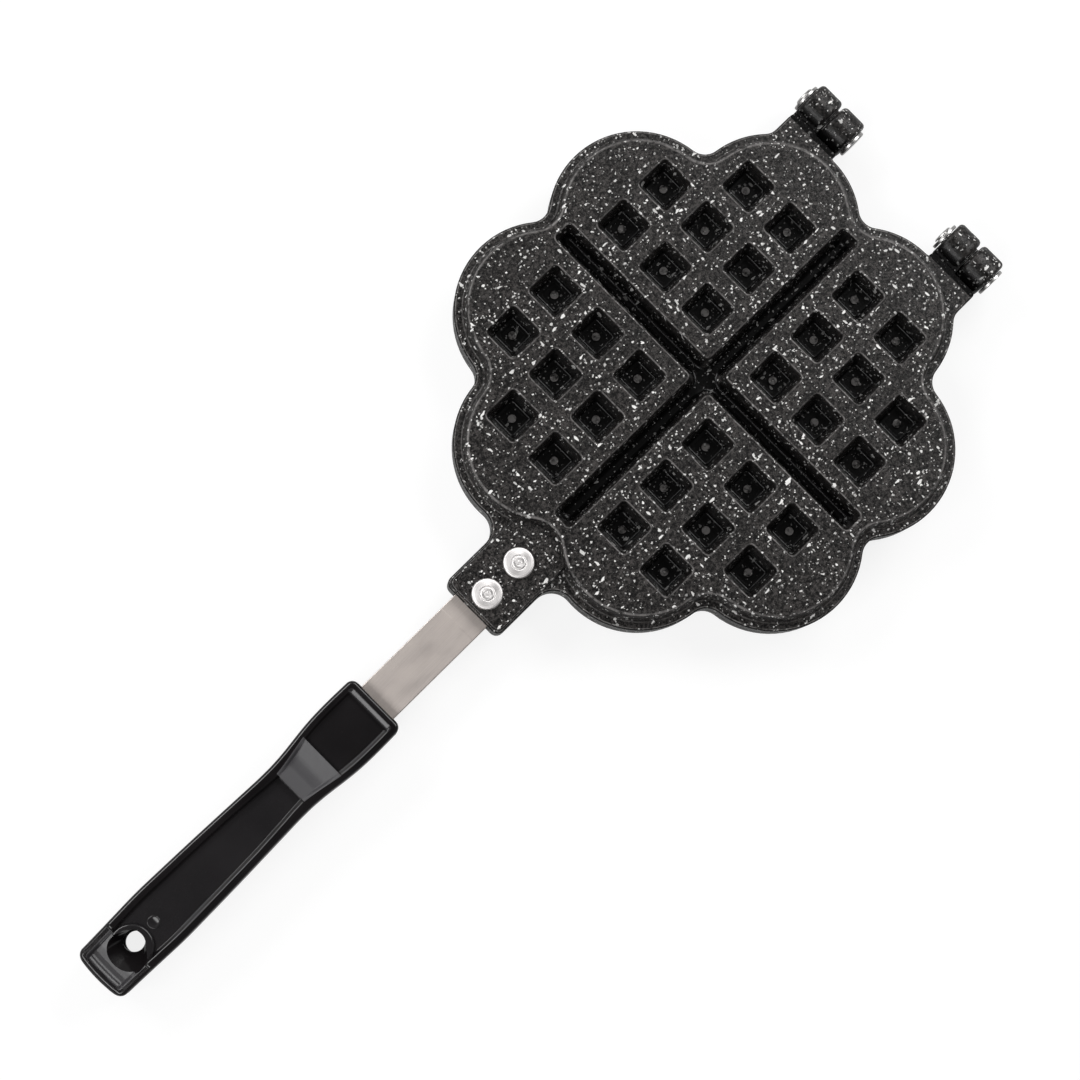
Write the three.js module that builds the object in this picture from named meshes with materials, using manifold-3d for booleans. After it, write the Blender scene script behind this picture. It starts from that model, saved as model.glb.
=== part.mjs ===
// A stovetop waffle iron: two identical cast plates, hinged face to face, each with a riveted steel strip
// that carries one half of the handle.
//
// Every half is drawn with its mating plane at z = 0 and its outside upwards. The plates lie along X, with the
// hinges towards +X and the handle towards -X. The lower half is the upper one turned over about X.

import * as THREE from 'three';
import * as BufferGeometryUtils from 'three/addons/utils/BufferGeometryUtils.js';
import Module from 'manifold-3d';

const wasm = await Module();
wasm.setup();

// Fits
const clearance = 0.3;
const overrun = 1;

// Outline of a plate: round lobes on a circle, with filleted notches between them
const lobeCount = 8;
const lobeCentreRadius = 72.7;
const lobeRadius = 37.8;
const notchRadius = 8;

// Heights above the mating plane, and the casting's walls
const plateHeight = 14;
const flangeHeight = 7.5;
const flangeChamfer = 0.8;
const flangeBand = 4.4;
const wallDraft = 1.2;
const plateauChamfer = 0.9;
const landWidth = 7.5;
const cavityDraft = 1.4;
const floorThickness = 3.5;

// Square pits outside, which are the pegs of the cooking side
const pitFirst = 20;
const pitPitch = 24.6;
const pitOpening = 17;
const pitFloorWidth = 10.6;
const pitCorner = 1.9;
const pitMargin = 2;
const pegTipHeight = 2.5;
const pegTipWall = 3.5;
const pegSideWall = 2.3;

// Crossed grooves outside, which are the ridges between the hearts
const grooveWidth = 9.2;
const grooveFloorWidth = 4.4;
const grooveDepth = 8.5;
const grooveEndWall = 4.2;
const grooveRoundShare = 0.98;
const ridgeTipHeight = 1.5;
const ridgeWall = 2.6;

// Lug that carries the strip
const lugReach = 41.7;
const lugWidth = 29.4;
const lugRise = 2.7;
const lugCorner = 3.4;
const webLedge = 0.8;
const webFillet = 9;

// Steel strip between the lug and the grip
const stripWidth = 18.5;
const stripThickness = 3;
const stripHeight = 2.4;
const stripSeat = 37;
const stripExposed = 53.8;
const stripTang = 45;
const stripCorner = 2.5;

// Rivets through lug and strip
const rivetCount = 2;
const rivetInset = 9;
const rivetSpacing = 18.2;
const rivetHeadRadius = 6.55;
const rivetHeadHeight = 2.1;
const rivetRimHeight = 1.2;
const rivetDimpleRadius = 1.3;
const rivetDimpleDepth = 0.5;
const rivetShankRadius = 2.6;
const rivetTailRadius = 4.2;
const rivetTailHeight = 1.2;

// Grip half
const gripLength = 156.5;
const gripWidth = 29;
const gripHeight = 12.6;
const gripParting = 0.5;
const gripEndCorner = 4.2;
const gripCollarCorner = 2.6;
const gripEdge = 1.8;
const rimWidth = 2.9;
const recessDepth = 3;
const recessDraft = 0.6;
const hangHoleRadius = 5.25;
const hangMouthRadius = 9.3;
const hangNeckHeight = 3.5;

// Hinges
const hingeReach = 13;
const hingeOffset = 41.5;
const knuckleRadius = 9.3;
const knuckleWidth = 12;
const knuckleGap = 1.3;
const knuckleChamfer = 0.8;
const armClearance = 0.5;
const neckHeight = 5;
const pinRadius = 3;
const pinHeadRadius = 6.4;
const pinHeadThickness = 1.4;
const pinButtonRadius = 4.2;
const pinButtonHeight = 0.9;

// Facets
const lobeSteps = 10;
const notchSteps = 4;
const pitCornerSteps = 1;
const cornerSteps = 2;
const roundSteps = 20;
const knuckleSteps = 28;

// Half-width of the grip along its length, from the collar to the hanging end: [share of length, share of width]
const gripPlanShares = [
  [0, 0.98], [0.09, 1], [0.16, 0.98], [0.22, 0.9], [0.28, 0.815], [0.34, 0.795], [0.4, 0.82], [0.47, 0.848],
  [0.55, 0.878], [0.63, 0.903], [0.71, 0.922], [0.78, 0.94], [0.85, 0.912], [0.92, 0.886], [1, 0.869],
];

// Height of the grip's rim along its length: [share of length, share of height]
const gripRimShares = [
  [0, 1], [0.2, 1], [0.36, 0.93], [0.55, 0.96], [0.74, 1], [0.885, 0.95], [0.9, 0.92], [1, 0.8],
];

// Depth of the sunk outer face: the collar's panel, the saddle, the long hollow and the end facet
const recessShares = [
  [0.036, 0.7], [0.201, 0.7], [0.205, 0.25], [0.255, 0.18], [0.311, 0.25], [0.315, 1], [0.45, 0.95],
  [0.65, 0.8], [0.83, 0.62], [0.886, 0.6], [0.892, 0.45], [0.984, 0.72],
];
const gripStepShare = 0.045;
const hangHoleShare = 0.89;

// Places that follow from the sizes
const lobeAngle = (2 * Math.PI) / lobeCount;
const halfLobe = lobeAngle / 2;
const matingFace = clearance / 2;
const notchCentreRadius =
  lobeCentreRadius * Math.cos(halfLobe) +
  Math.sqrt((lobeRadius + notchRadius) ** 2 - (lobeCentreRadius * Math.sin(halfLobe)) ** 2);
const plateReach = lobeCentreRadius * Math.cos(halfLobe) + lobeRadius;
const plateauInset = flangeBand + wallDraft;
const cavityFloor = plateHeight - floorThickness;
const pitFloor = pegTipHeight + pegTipWall;
const hingeX = plateReach + hingeReach;
const armEndX = hingeX - knuckleRadius - armClearance;
const lugEndX = -(notchCentreRadius - notchRadius + lugReach);
const stripInnerX = lugEndX + stripSeat;
const collarX = lugEndX - stripExposed;
const tangEndX = collarX - stripTang;
const gripEndX = collarX - gripLength;
const hangHoleX = collarX - gripLength * hangHoleShare;
const stripTop = stripHeight + stripThickness;
const lugTop = flangeHeight + lugRise;
const webHalfWidth = lugWidth / 2 + webLedge;

// A closed mesh as a solid for joining and cutting
function solidOf(geometry) {
  const plain = geometry.clone();
  plain.deleteAttribute('normal');
  plain.deleteAttribute('uv');
  const merged = BufferGeometryUtils.mergeVertices(plain);
  const vertProperties = Float32Array.from(merged.attributes.position.array);
  const triVerts = Uint32Array.from(merged.index.array);
  return new wasm.Manifold(new wasm.Mesh({ numProp: 3, vertProperties, triVerts }));
}

// A solid's surface as a geometry that three.js can show
function geometryOf(solid) {
  const mesh = solid.getMesh();
  const geometry = new THREE.BufferGeometry();
  geometry.setAttribute('position', new THREE.BufferAttribute(Float32Array.from(mesh.vertProperties), 3));
  geometry.setIndex(Array.from(mesh.triVerts));
  geometry.computeVertexNormals();
  return geometry;
}

// Joins a list of solids into one
function join(solids) {
  return solids.reduce((whole, solid) => whole.add(solid));
}

// Points of an arc in the plane, both ends included
function arc(centreX, centreY, radius, from, to, steps) {
  const points = [];
  for (let step = 0; step <= steps; step += 1) {
    const angle = from + ((to - from) * step) / steps;
    points.push([centreX + radius * Math.cos(angle), centreY + radius * Math.sin(angle)]);
  }
  return points;
}

// A closed surface through equal rings of points, with a flat cap on the first and the last ring.
// Rings run anticlockwise, seen from the side that the last ring faces.
function skin(rings, flatten) {
  const count = rings[0].length;
  const positions = rings.flat(2);
  const index = [];
  for (let ring = 0; ring < rings.length - 1; ring += 1) {
    for (let point = 0; point < count; point += 1) {
      const a = ring * count + point;
      const b = ring * count + ((point + 1) % count);
      index.push(a, b, b + count, a, b + count, a + count);
    }
  }
  const last = (rings.length - 1) * count;
  const capOf = (ring) => THREE.ShapeUtils.triangulateShape(ring.map(flatten), []);
  for (const [a, b, c] of capOf(rings[0])) index.push(c, b, a);
  for (const [a, b, c] of capOf(rings[rings.length - 1])) index.push(last + a, last + b, last + c);
  const geometry = new THREE.BufferGeometry();
  geometry.setAttribute('position', new THREE.Float32BufferAttribute(positions, 3));
  geometry.setIndex(index);
  return geometry;
}

// A solid between outlines that lie at rising heights: [[outline, height], ...]
function stack(levels) {
  const rings = levels.map(([outline, height]) => outline.map(([x, y]) => [x, y, height]));
  return solidOf(skin(rings, ([x, y]) => new THREE.Vector2(x, y)));
}

// A box given by its two corners
function block([x0, y0, z0], [x1, y1, z1]) {
  const box = new THREE.BoxGeometry(x1 - x0, y1 - y0, z1 - z0);
  return solidOf(box.translate((x0 + x1) / 2, (y0 + y1) / 2, (z0 + z1) / 2));
}

// A turned solid about the Z axis from [radius, height] points that start and end on the axis
function turned(profile, steps) {
  const points = profile.map(([radius, height]) => new THREE.Vector2(radius, height));
  return new THREE.LatheGeometry(points, steps).rotateX(Math.PI / 2);
}

// Lobed outline of a plate, moved inwards by an inset
function rosette(inset) {
  const reach = Math.atan2(
    notchCentreRadius * Math.sin(halfLobe),
    notchCentreRadius * Math.cos(halfLobe) - lobeCentreRadius,
  );
  const points = [];
  for (let lobe = 0; lobe < lobeCount; lobe += 1) {
    const middle = (lobe + 0.5) * lobeAngle;
    const notch = middle + halfLobe;
    const lobeX = lobeCentreRadius * Math.cos(middle);
    const lobeY = lobeCentreRadius * Math.sin(middle);
    const notchX = notchCentreRadius * Math.cos(notch);
    const notchY = notchCentreRadius * Math.sin(notch);
    const round = arc(lobeX, lobeY, lobeRadius - inset, middle - reach, middle + reach, lobeSteps);
    const fillet = arc(
      notchX, notchY, notchRadius + inset, middle + reach + Math.PI, notch + halfLobe - reach + Math.PI, notchSteps,
    );
    points.push(...round, ...fillet.slice(1, -1));
  }
  return points;
}

// Rectangle with rounded corners about a centre
function roundedBox(centreX, centreY, halfX, halfY, radius, steps = cornerSteps) {
  const quarter = Math.PI / 2;
  const corners = [[1, 1], [-1, 1], [-1, -1], [1, -1]];
  return corners.flatMap(([sideX, sideY], turn) =>
    arc(
      centreX + sideX * (halfX - radius), centreY + sideY * (halfY - radius), radius,
      turn * quarter, (turn + 1) * quarter, steps,
    ));
}

// Whether a pit about a point lies inside the plateau, clear of its edge
function pitFits(x, y) {
  const half = pitOpening / 2;
  const corners = [[x + half, y + half], [x + half, y - half], [x - half, y + half]];
  return corners.every(([cornerX, cornerY]) => {
    if (Math.hypot(cornerX, cornerY) < lobeCentreRadius) return true;
    for (let lobe = 0; lobe < lobeCount; lobe += 1) {
      const middle = (lobe + 0.5) * lobeAngle;
      const awayX = cornerX - lobeCentreRadius * Math.cos(middle);
      const awayY = cornerY - lobeCentreRadius * Math.sin(middle);
      if (Math.hypot(awayX, awayY) < lobeRadius - plateauInset - pitMargin) return true;
    }
    return false;
  });
}

// Centres of all pits: the same triangle of places in each of the four hearts
function pitCentres() {
  const centres = [];
  const rows = Math.ceil(plateReach / pitPitch);
  for (let row = 0; row < rows; row += 1) {
    for (let column = 0; column < rows; column += 1) {
      const x = pitFirst + column * pitPitch;
      const y = pitFirst + row * pitPitch;
      if (pitFits(x, y)) centres.push([x, y], [-x, y], [-x, -y], [x, -y]);
    }
  }
  return centres;
}

// Tapered solid of one pit, open past the plateau
function pitCut([x, y]) {
  const taper = (pitOpening - pitFloorWidth) / 2 / (plateHeight - pitFloor);
  const floorHalf = pitFloorWidth / 2;
  const mouthHalf = pitOpening / 2 + taper * overrun;
  return stack([
    [roundedBox(x, y, floorHalf, floorHalf, pitCorner, pitCornerSteps), pitFloor],
    [roundedBox(x, y, mouthHalf, mouthHalf, pitCorner, pitCornerSteps), plateHeight + overrun],
  ]);
}

// Tapered solid of one peg, from inside the floor down to its tip
function peg([x, y]) {
  const taper = (pitOpening - pitFloorWidth) / 2 / (plateHeight - pitFloor);
  const tipHalf = pitFloorWidth / 2 + pegSideWall - taper * pegTipWall;
  const rootHalf = tipHalf + taper * (cavityFloor + overrun - pegTipHeight);
  return stack([
    [roundedBox(x, y, tipHalf, tipHalf, pitCorner, pitCornerSteps), pegTipHeight],
    [roundedBox(x, y, rootHalf, rootHalf, pitCorner, pitCornerSteps), cavityFloor + overrun],
  ]);
}

// Half-width of the groove's wall line at a height
function grooveHalfWidth(height) {
  const share = (height - (plateHeight - grooveDepth)) / grooveDepth;
  return (grooveFloorWidth + (grooveWidth - grooveFloorWidth) * share) / 2;
}

// One groove along X, open past the plateau
function grooveCut() {
  const floorLevel = plateHeight - grooveDepth;
  const halfLength = notchCentreRadius - notchRadius - plateauInset - grooveEndWall;
  const lengthLost = (grooveWidth - grooveFloorWidth) / 2;
  const level = (height, half) => {
    const halfEnd = halfLength - lengthLost + half - grooveFloorWidth / 2;
    return [roundedBox(0, 0, halfEnd, half, half * grooveRoundShare), height];
  };
  const top = plateHeight + overrun;
  return stack([level(floorLevel, grooveHalfWidth(floorLevel)), level(top, grooveHalfWidth(top))]);
}

// One ridge along X between the hearts, as long as the plate
function ridge() {
  const level = (height) => {
    const half = grooveHalfWidth(height) + ridgeWall;
    return [roundedBox(0, 0, plateReach, half, pitCorner), height];
  };
  return stack([level(ridgeTipHeight), level(cavityFloor + overrun)]);
}

// Web at flange level that carries the lug, filleted into the two lobes beside it
function web() {
  const lobeX = -lobeCentreRadius * Math.cos(halfLobe);
  const lobeY = lobeCentreRadius * Math.sin(halfLobe);
  const filletY = webHalfWidth + webFillet;
  const away = lobeRadius + webFillet;
  const filletX = lobeX - Math.sqrt(away ** 2 - (filletY - lobeY) ** 2);
  const touch = Math.atan2(lobeY - filletY, lobeX - filletX);
  const upper = [
    [lobeX, lobeY],
    ...arc(filletX, filletY, webFillet, touch, -Math.PI / 2, notchSteps),
    ...arc(lugEndX + lugCorner, webHalfWidth - lugCorner, lugCorner, Math.PI / 2, Math.PI, cornerSteps),
  ];
  const lower = upper.map(([x, y]) => [x, -y]).reverse();
  return stack([[[...upper, ...lower], matingFace], [[...upper, ...lower], flangeHeight]]);
}

// Raised pad of the lug, from the plateau's wall to the lug's end
function lugPad() {
  const rootX = -(notchCentreRadius - notchRadius - plateauInset - flangeBand);
  const middle = (rootX + lugEndX + webLedge) / 2;
  const half = (rootX - lugEndX - webLedge) / 2;
  const outline = (inset) => roundedBox(middle, 0, half - inset, lugWidth / 2 - inset, lugCorner);
  const shoulder = lugTop - flangeChamfer;
  return stack([[outline(0), matingFace], [outline(0), shoulder], [outline(flangeChamfer), lugTop]]);
}

// Channel under the lug that the strip lies in
function stripChannel() {
  const half = stripWidth / 2 + clearance;
  return block(
    [lugEndX - overrun, -half, matingFace - overrun],
    [stripInnerX + clearance, half, stripTop + clearance],
  );
}

// Centres of the rivets along the strip
function rivetPlaces() {
  return Array.from({ length: rivetCount }, (_, place) => lugEndX + rivetInset + place * rivetSpacing);
}

// Plain hole through a half for a rivet's shank
function rivetHole(x) {
  const hole = new THREE.CylinderGeometry(
    rivetShankRadius + clearance, rivetShankRadius + clearance, plateHeight, roundSteps,
  );
  return solidOf(hole.rotateX(Math.PI / 2).translate(x, 0, plateHeight / 2));
}

// Hinge arm, neck and knuckle about one hinge's middle, with the knuckle on its +Y side
function hingeArm(y) {
  const span = knuckleWidth + knuckleGap / 2;
  const rootX = lobeCentreRadius * Math.cos(halfLobe);
  const arm = block([rootX, y - span, matingFace], [armEndX, y + span, flangeHeight]);
  const neck = block([rootX, y + knuckleGap / 2, matingFace], [hingeX, y + span, neckHeight]);
  const rim = knuckleRadius - knuckleChamfer;
  const barrel = turned(
    [
      [0, 0], [rim, 0], [knuckleRadius, knuckleChamfer],
      [knuckleRadius, knuckleWidth - knuckleChamfer], [rim, knuckleWidth], [0, knuckleWidth],
    ],
    knuckleSteps,
  );
  barrel.rotateX(-Math.PI / 2).translate(hingeX, y + knuckleGap / 2, 0);
  return join([arm, neck, solidOf(barrel)]);
}

// Bore through a knuckle
function pinBore(y) {
  const radius = (pinRadius + clearance) / Math.cos(Math.PI / roundSteps);
  const bore = new THREE.CylinderGeometry(radius, radius, knuckleWidth + 2 * overrun, roundSteps);
  return solidOf(bore.translate(hingeX, y + knuckleGap / 2 + knuckleWidth / 2, 0));
}

// One casting: the flange, the raised plateau, the lug and the hinge arms, less its hollows
function plate() {
  const shoulder = flangeHeight - flangeChamfer;
  const flange = stack([[rosette(0), matingFace], [rosette(0), shoulder], [rosette(flangeChamfer), flangeHeight]]);
  const edge = plateHeight - plateauChamfer;
  const plateau = stack([
    [rosette(flangeBand), shoulder - overrun],
    [rosette(plateauInset), edge],
    [rosette(plateauInset + plateauChamfer), plateHeight],
  ]);
  const hinges = [hingeOffset, -hingeOffset];
  const body = join([flange, plateau, web(), lugPad(), ...hinges.map(hingeArm)]);

  const centres = pitCentres();
  const ridgeAlongX = ridge();
  const kept = join([ridgeAlongX, ridgeAlongX.rotate([0, 0, 90]), ...centres.map(peg)]);
  const cavity = stack([
    [rosette(landWidth), matingFace - overrun],
    [rosette(landWidth + cavityDraft), cavityFloor],
  ]).subtract(kept);
  const groove = grooveCut();
  const cuts = [
    cavity, groove, groove.rotate([0, 0, 90]), stripChannel(),
    ...centres.map(pitCut), ...rivetPlaces().map(rivetHole), ...hinges.map(pinBore),
  ];
  return geometryOf(body.subtract(join(cuts)));
}

// Steel strip from the lug into the grip, with rounded corners and a hole for each rivet
function strip() {
  const middle = (stripInnerX + tangEndX) / 2;
  const outline = roundedBox(middle, 0, (stripInnerX - tangEndX) / 2, stripWidth / 2, stripCorner);
  const bar = stack([[outline, stripHeight], [outline, stripTop]]);
  return geometryOf(bar.subtract(join(rivetPlaces().map(rivetHole))));
}

// Rivet with a dimpled head outside and a set tail under the strip
function rivet() {
  const headFoot = lugTop + clearance;
  const tailTop = stripHeight - clearance;
  const headTop = headFoot + rivetHeadHeight;
  return turned(
    [
      [0, tailTop - rivetTailHeight], [rivetTailRadius, tailTop - rivetTailHeight], [rivetTailRadius, tailTop],
      [rivetShankRadius, tailTop], [rivetShankRadius, headFoot], [rivetHeadRadius, headFoot],
      [rivetHeadRadius, headFoot + rivetRimHeight], [rivetHeadRadius - rivetRimHeight, headTop],
      [rivetDimpleRadius, headTop], [0, headTop - rivetDimpleDepth],
    ],
    roundSteps,
  );
}

// Value of a [share, value] table at a share, along straight lines
function along(table, share) {
  const next = table.findIndex(([at]) => at >= share);
  if (next <= 0) return table[next === 0 ? 0 : table.length - 1][1];
  const [fromShare, fromValue] = table[next - 1];
  const [toShare, toValue] = table[next];
  return fromValue + ((toValue - fromValue) * (share - fromShare)) / (toShare - fromShare);
}

// How far a rounded corner of a radius draws an edge in, at a distance from the end
function drawnIn(radius, distance) {
  if (distance >= radius) return 0;
  return radius - Math.sqrt(radius ** 2 - (radius - distance) ** 2);
}

// Half-width of the grip at a distance from its collar
function gripHalfWidth(distance) {
  const half = (gripWidth / 2) * along(gripPlanShares, distance / gripLength);
  return half - drawnIn(gripCollarCorner, distance) - drawnIn(gripEndCorner, gripLength - distance);
}

// Height of the grip's rim at a distance from its collar
function gripRimHeight(distance) {
  const top = gripHeight * along(gripRimShares, distance / gripLength);
  return top - drawnIn(gripEdge, distance) - drawnIn(gripEdge, gripLength - distance);
}

// Distances from the collar at which the grip's section is drawn
function gripStations(shares, corners) {
  const stations = new Set(shares.map((share) => share * gripLength));
  for (const [radius, from, way] of corners) {
    for (let step = 0; step <= cornerSteps * 2; step += 1) {
      stations.add(from + way * radius * (1 - Math.cos((Math.PI / 2) * (step / (cornerSteps * 2)))));
    }
  }
  return [...stations].sort((a, b) => a - b);
}

// Sections across X, laid from the far end towards the collar so that the faces point outwards
function gripSkin(stations, section) {
  const rings = stations.map((distance) => section(distance)
    .map(([y, height]) => [collarX - distance, y, height]));
  return solidOf(skin(rings, ([, y, height]) => new THREE.Vector2(-y, height)));
}

// Half of the grip, sunk on its outside, with a slot for the strip and the hanging hole
function grip() {
  const shares = [];
  for (let share = 0; share < 1; share += gripStepShare) shares.push(share);
  const stations = gripStations([...shares, 1], [[gripCollarCorner, 0, 1], [gripEndCorner, gripLength, -1]]);
  const outside = gripSkin(stations, (distance) => {
    const half = gripHalfWidth(distance);
    const top = gripRimHeight(distance);
    const edge = gripEdge;
    return [
      [-half, gripParting], [-half, top - edge], [-half + edge, top],
      [half - edge, top], [half, top - edge], [half, gripParting],
    ];
  });

  const [firstShare] = recessShares[0];
  const [lastShare] = recessShares[recessShares.length - 1];
  const inner = shares.filter((share) => share > firstShare && share < lastShare);
  const recessStations = gripStations([...recessShares.map(([share]) => share), ...inner], []);
  const recess = gripSkin(recessStations, (distance) => {
    const half = gripHalfWidth(distance) - rimWidth;
    const floor = gripRimHeight(distance) - recessDepth * along(recessShares, distance / gripLength);
    const mouth = gripHeight + overrun;
    return [
      [-half + recessDraft, floor], [-half, mouth], [half, mouth], [half - recessDraft, floor],
    ];
  });

  const slotHalf = stripWidth / 2 + clearance;
  const slot = block(
    [tangEndX - clearance, -slotHalf, stripHeight - clearance],
    [collarX + overrun, slotHalf, stripTop + clearance],
  );
  const flare = (hangMouthRadius - hangHoleRadius) / (gripHeight - hangNeckHeight);
  const mouth = gripHeight + overrun;
  const hole = turned(
    [
      [0, -overrun], [hangHoleRadius, -overrun], [hangHoleRadius, hangNeckHeight],
      [hangMouthRadius + flare * overrun, mouth], [0, mouth],
    ],
    roundSteps,
  ).translate(hangHoleX, 0, 0);
  return geometryOf(outside.subtract(join([recess, slot, solidOf(hole)])));
}

// Hinge pin along Y about its hinge's middle, with its head towards -Y and its set end past the washer
function hingePin() {
  const face = knuckleWidth + knuckleGap / 2 + clearance;
  const buttonFoot = face + pinHeadThickness + clearance;
  return turned(
    [
      [0, -face - pinHeadThickness], [pinHeadRadius, -face - pinHeadThickness], [pinHeadRadius, -face],
      [pinRadius, -face], [pinRadius, buttonFoot], [pinButtonRadius, buttonFoot],
      [pinButtonRadius, buttonFoot + pinButtonHeight], [0, buttonFoot + pinButtonHeight],
    ],
    roundSteps,
  ).rotateX(-Math.PI / 2);
}

// Washer on the pin, between the knuckle and the pin's set end
function pinWasher() {
  const foot = knuckleWidth + knuckleGap / 2 + clearance;
  const bore = (pinRadius + clearance) / Math.cos(Math.PI / roundSteps);
  const profile = [
    [bore, foot], [pinHeadRadius, foot], [pinHeadRadius, foot + pinHeadThickness],
    [bore, foot + pinHeadThickness], [bore, foot],
  ];
  return turned(profile, roundSteps).rotateX(-Math.PI / 2);
}

const coating = new THREE.MeshStandardMaterial({ color: 0x38383a, roughness: 0.5, metalness: 0.3 });
const steel = new THREE.MeshStandardMaterial({ color: 0xb2a8a0, roughness: 0.35, metalness: 0.9 });
const bright = new THREE.MeshStandardMaterial({ color: 0xc9c9c9, roughness: 0.25, metalness: 1 });
const bakelite = new THREE.MeshStandardMaterial({ color: 0x1b1a1a, roughness: 0.15, metalness: 0 });

// One named piece of the assembly
function piece(name, geometry, material) {
  const mesh = new THREE.Mesh(geometry, material);
  mesh.name = name;
  return mesh;
}

const plateGeometry = plate();
const stripGeometry = strip();
const gripGeometry = grip();
const rivetGeometry = rivet();

// One half of the iron, as its own group
function half(side) {
  const group = new THREE.Group();
  group.add(piece(`${side}_plate`, plateGeometry, coating));
  group.add(piece(`${side}_handle_strip`, stripGeometry, steel));
  group.add(piece(`${side}_handle_grip`, gripGeometry, bakelite));
  rivetPlaces().forEach((x, place) => {
    const fastener = piece(`${side}_strip_rivet_${place + 1}`, rivetGeometry, bright);
    fastener.position.x = x;
    group.add(fastener);
  });
  return group;
}

const iron = new THREE.Group();
iron.position.set(-(hingeX + knuckleRadius + gripEndX) / 2, 0, plateHeight);
iron.add(half('top'));

const lowerHalf = half('bottom');
lowerHalf.rotation.x = Math.PI;
iron.add(lowerHalf);

const hingeNames = [['left', hingeOffset], ['right', -hingeOffset]];
for (const [side, y] of hingeNames) {
  const pin = piece(`${side}_hinge_pin`, hingePin(), bright);
  const washer = piece(`${side}_hinge_washer`, pinWasher(), bright);
  pin.position.set(hingeX, y, 0);
  washer.position.set(hingeX, y, 0);
  iron.add(pin, washer);
}

export default iron;
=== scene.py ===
"""Looks of a stovetop waffle iron: two lobed castings, hinged face to face, with riveted handles.

Sizes in the classes are millimetres on the iron's own axes: X runs towards the hinges, Y across, and
heights are above the plane where the two castings meet, with the outside of a half upwards. Each half is
drawn once in that way and then set in the frame, the lower one turned over about X.
"""

import logging
import math
from dataclasses import dataclass, field
from enum import Enum
from typing import Callable, Sequence

import bmesh
import bpy
from mathutils import Matrix, Vector
from mathutils.geometry import delaunay_2d_cdt


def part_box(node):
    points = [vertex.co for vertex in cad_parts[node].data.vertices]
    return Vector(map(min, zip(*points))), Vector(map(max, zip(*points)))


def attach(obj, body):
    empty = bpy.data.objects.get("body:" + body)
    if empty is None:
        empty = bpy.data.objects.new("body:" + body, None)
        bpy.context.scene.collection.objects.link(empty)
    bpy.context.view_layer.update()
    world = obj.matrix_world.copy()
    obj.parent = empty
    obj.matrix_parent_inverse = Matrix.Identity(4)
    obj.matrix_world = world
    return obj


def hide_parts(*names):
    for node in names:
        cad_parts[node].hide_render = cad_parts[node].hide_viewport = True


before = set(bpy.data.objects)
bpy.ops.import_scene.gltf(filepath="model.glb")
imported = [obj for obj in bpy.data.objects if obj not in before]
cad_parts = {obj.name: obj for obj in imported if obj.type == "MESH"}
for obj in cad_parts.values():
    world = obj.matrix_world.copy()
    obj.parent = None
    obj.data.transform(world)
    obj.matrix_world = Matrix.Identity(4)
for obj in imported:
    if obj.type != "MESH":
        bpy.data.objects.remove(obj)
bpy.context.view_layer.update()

log = logging.getLogger("waffle_iron")

MM = 0.001
QUARTER = math.pi / 2
MERGE = 1e-6
FLAT = 1e-7
CRISP = 34.0
SPUN_MAP = "spun"
RECESS_SHADE = "recess_shade"
PAINTED_HIGHLIGHT = "highlight_and_wear"
SATIN_SHEEN = "satin"
Outline = list[tuple[float, float]]
Profile = list[tuple[float, float]]


class Side(Enum):
    """The two halves of the iron, by what their parts are called."""

    UPPER = "top"
    LOWER = "bottom"

    @property
    def body(self) -> str:
        """Name of the body that this half's pieces ride on."""
        return "upper_half" if self is Side.UPPER else "lower_half"


class Cut(Enum):
    """How two solids are put together."""

    JOIN = "UNION"
    TAKE_AWAY = "DIFFERENCE"
    SHARED = "INTERSECT"


class FillKind(Enum):
    """What the triangulation of a flat face keeps."""

    WITH_HOLES = 2


class Blend(Enum):
    """How two colours are put together."""

    MIX = "MIX"
    MULTIPLY = "MULTIPLY"


# Outlines and profiles


def arc(centre: tuple[float, float], radius: float, start: float, end: float, steps: int) -> Outline:
    """Points of an arc with both ends.

    Args:
        centre: middle of the arc.
        radius: its radius.
        start: first angle in radians.
        end: last angle in radians.
        steps: number of equal steps.

    Returns:
        The points in order.
    """
    angles = [start + (end - start) * step / steps for step in range(steps + 1)]
    return [(centre[0] + radius * math.cos(a), centre[1] + radius * math.sin(a)) for a in angles]


def rounded_box(
    centre: tuple[float, float], half: tuple[float, float], radius: float, steps: int, along: int = 0
) -> Outline:
    """Rectangle with rounded corners.

    Args:
        centre: its middle.
        half: half of its size along X and Y.
        radius: corner radius.
        steps: steps in each corner.
        along: extra points on each straight side.

    Returns:
        The points, anticlockwise.
    """
    points: Outline = []
    for turn, (sx, sy) in enumerate(((1, 1), (-1, 1), (-1, -1), (1, -1))):
        middle = (centre[0] + sx * (half[0] - radius), centre[1] + sy * (half[1] - radius))
        points += arc(middle, radius, turn * QUARTER, (turn + 1) * QUARTER, steps)
    if not along:
        return points
    corner, spaced = steps + 1, []
    for turn in range(4):
        spaced += points[turn * corner:(turn + 1) * corner]
        (ax, ay), (bx, by) = points[(turn + 1) * corner - 1], points[((turn + 1) * corner) % len(points)]
        for step in range(1, along + 1):
            share = step / (along + 1)
            spaced.append((ax + (bx - ax) * share, ay + (by - ay) * share))
    return spaced


def drawn_in(outline: Outline, inset: float) -> Outline:
    """Closed outline moved inwards by a small inset, point by point.

    Args:
        outline: points, anticlockwise, on a curve whose radii are larger than the inset.
        inset: distance to move inwards.

    Returns:
        As many points as before.
    """
    moved: Outline = []
    count = len(outline)
    for index, (x, y) in enumerate(outline):
        before, after = outline[index - 1], outline[(index + 1) % count]
        first = Vector((x - before[0], y - before[1])).normalized()
        second = Vector((after[0] - x, after[1] - y)).normalized()
        inward = Vector((-first.y - second.y, first.x + second.x)).normalized()
        reach = inset / max(inward.dot(Vector((-first.y, first.x))), 0.5)
        moved.append((x + inward.x * reach, y + inward.y * reach))
    return moved


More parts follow.
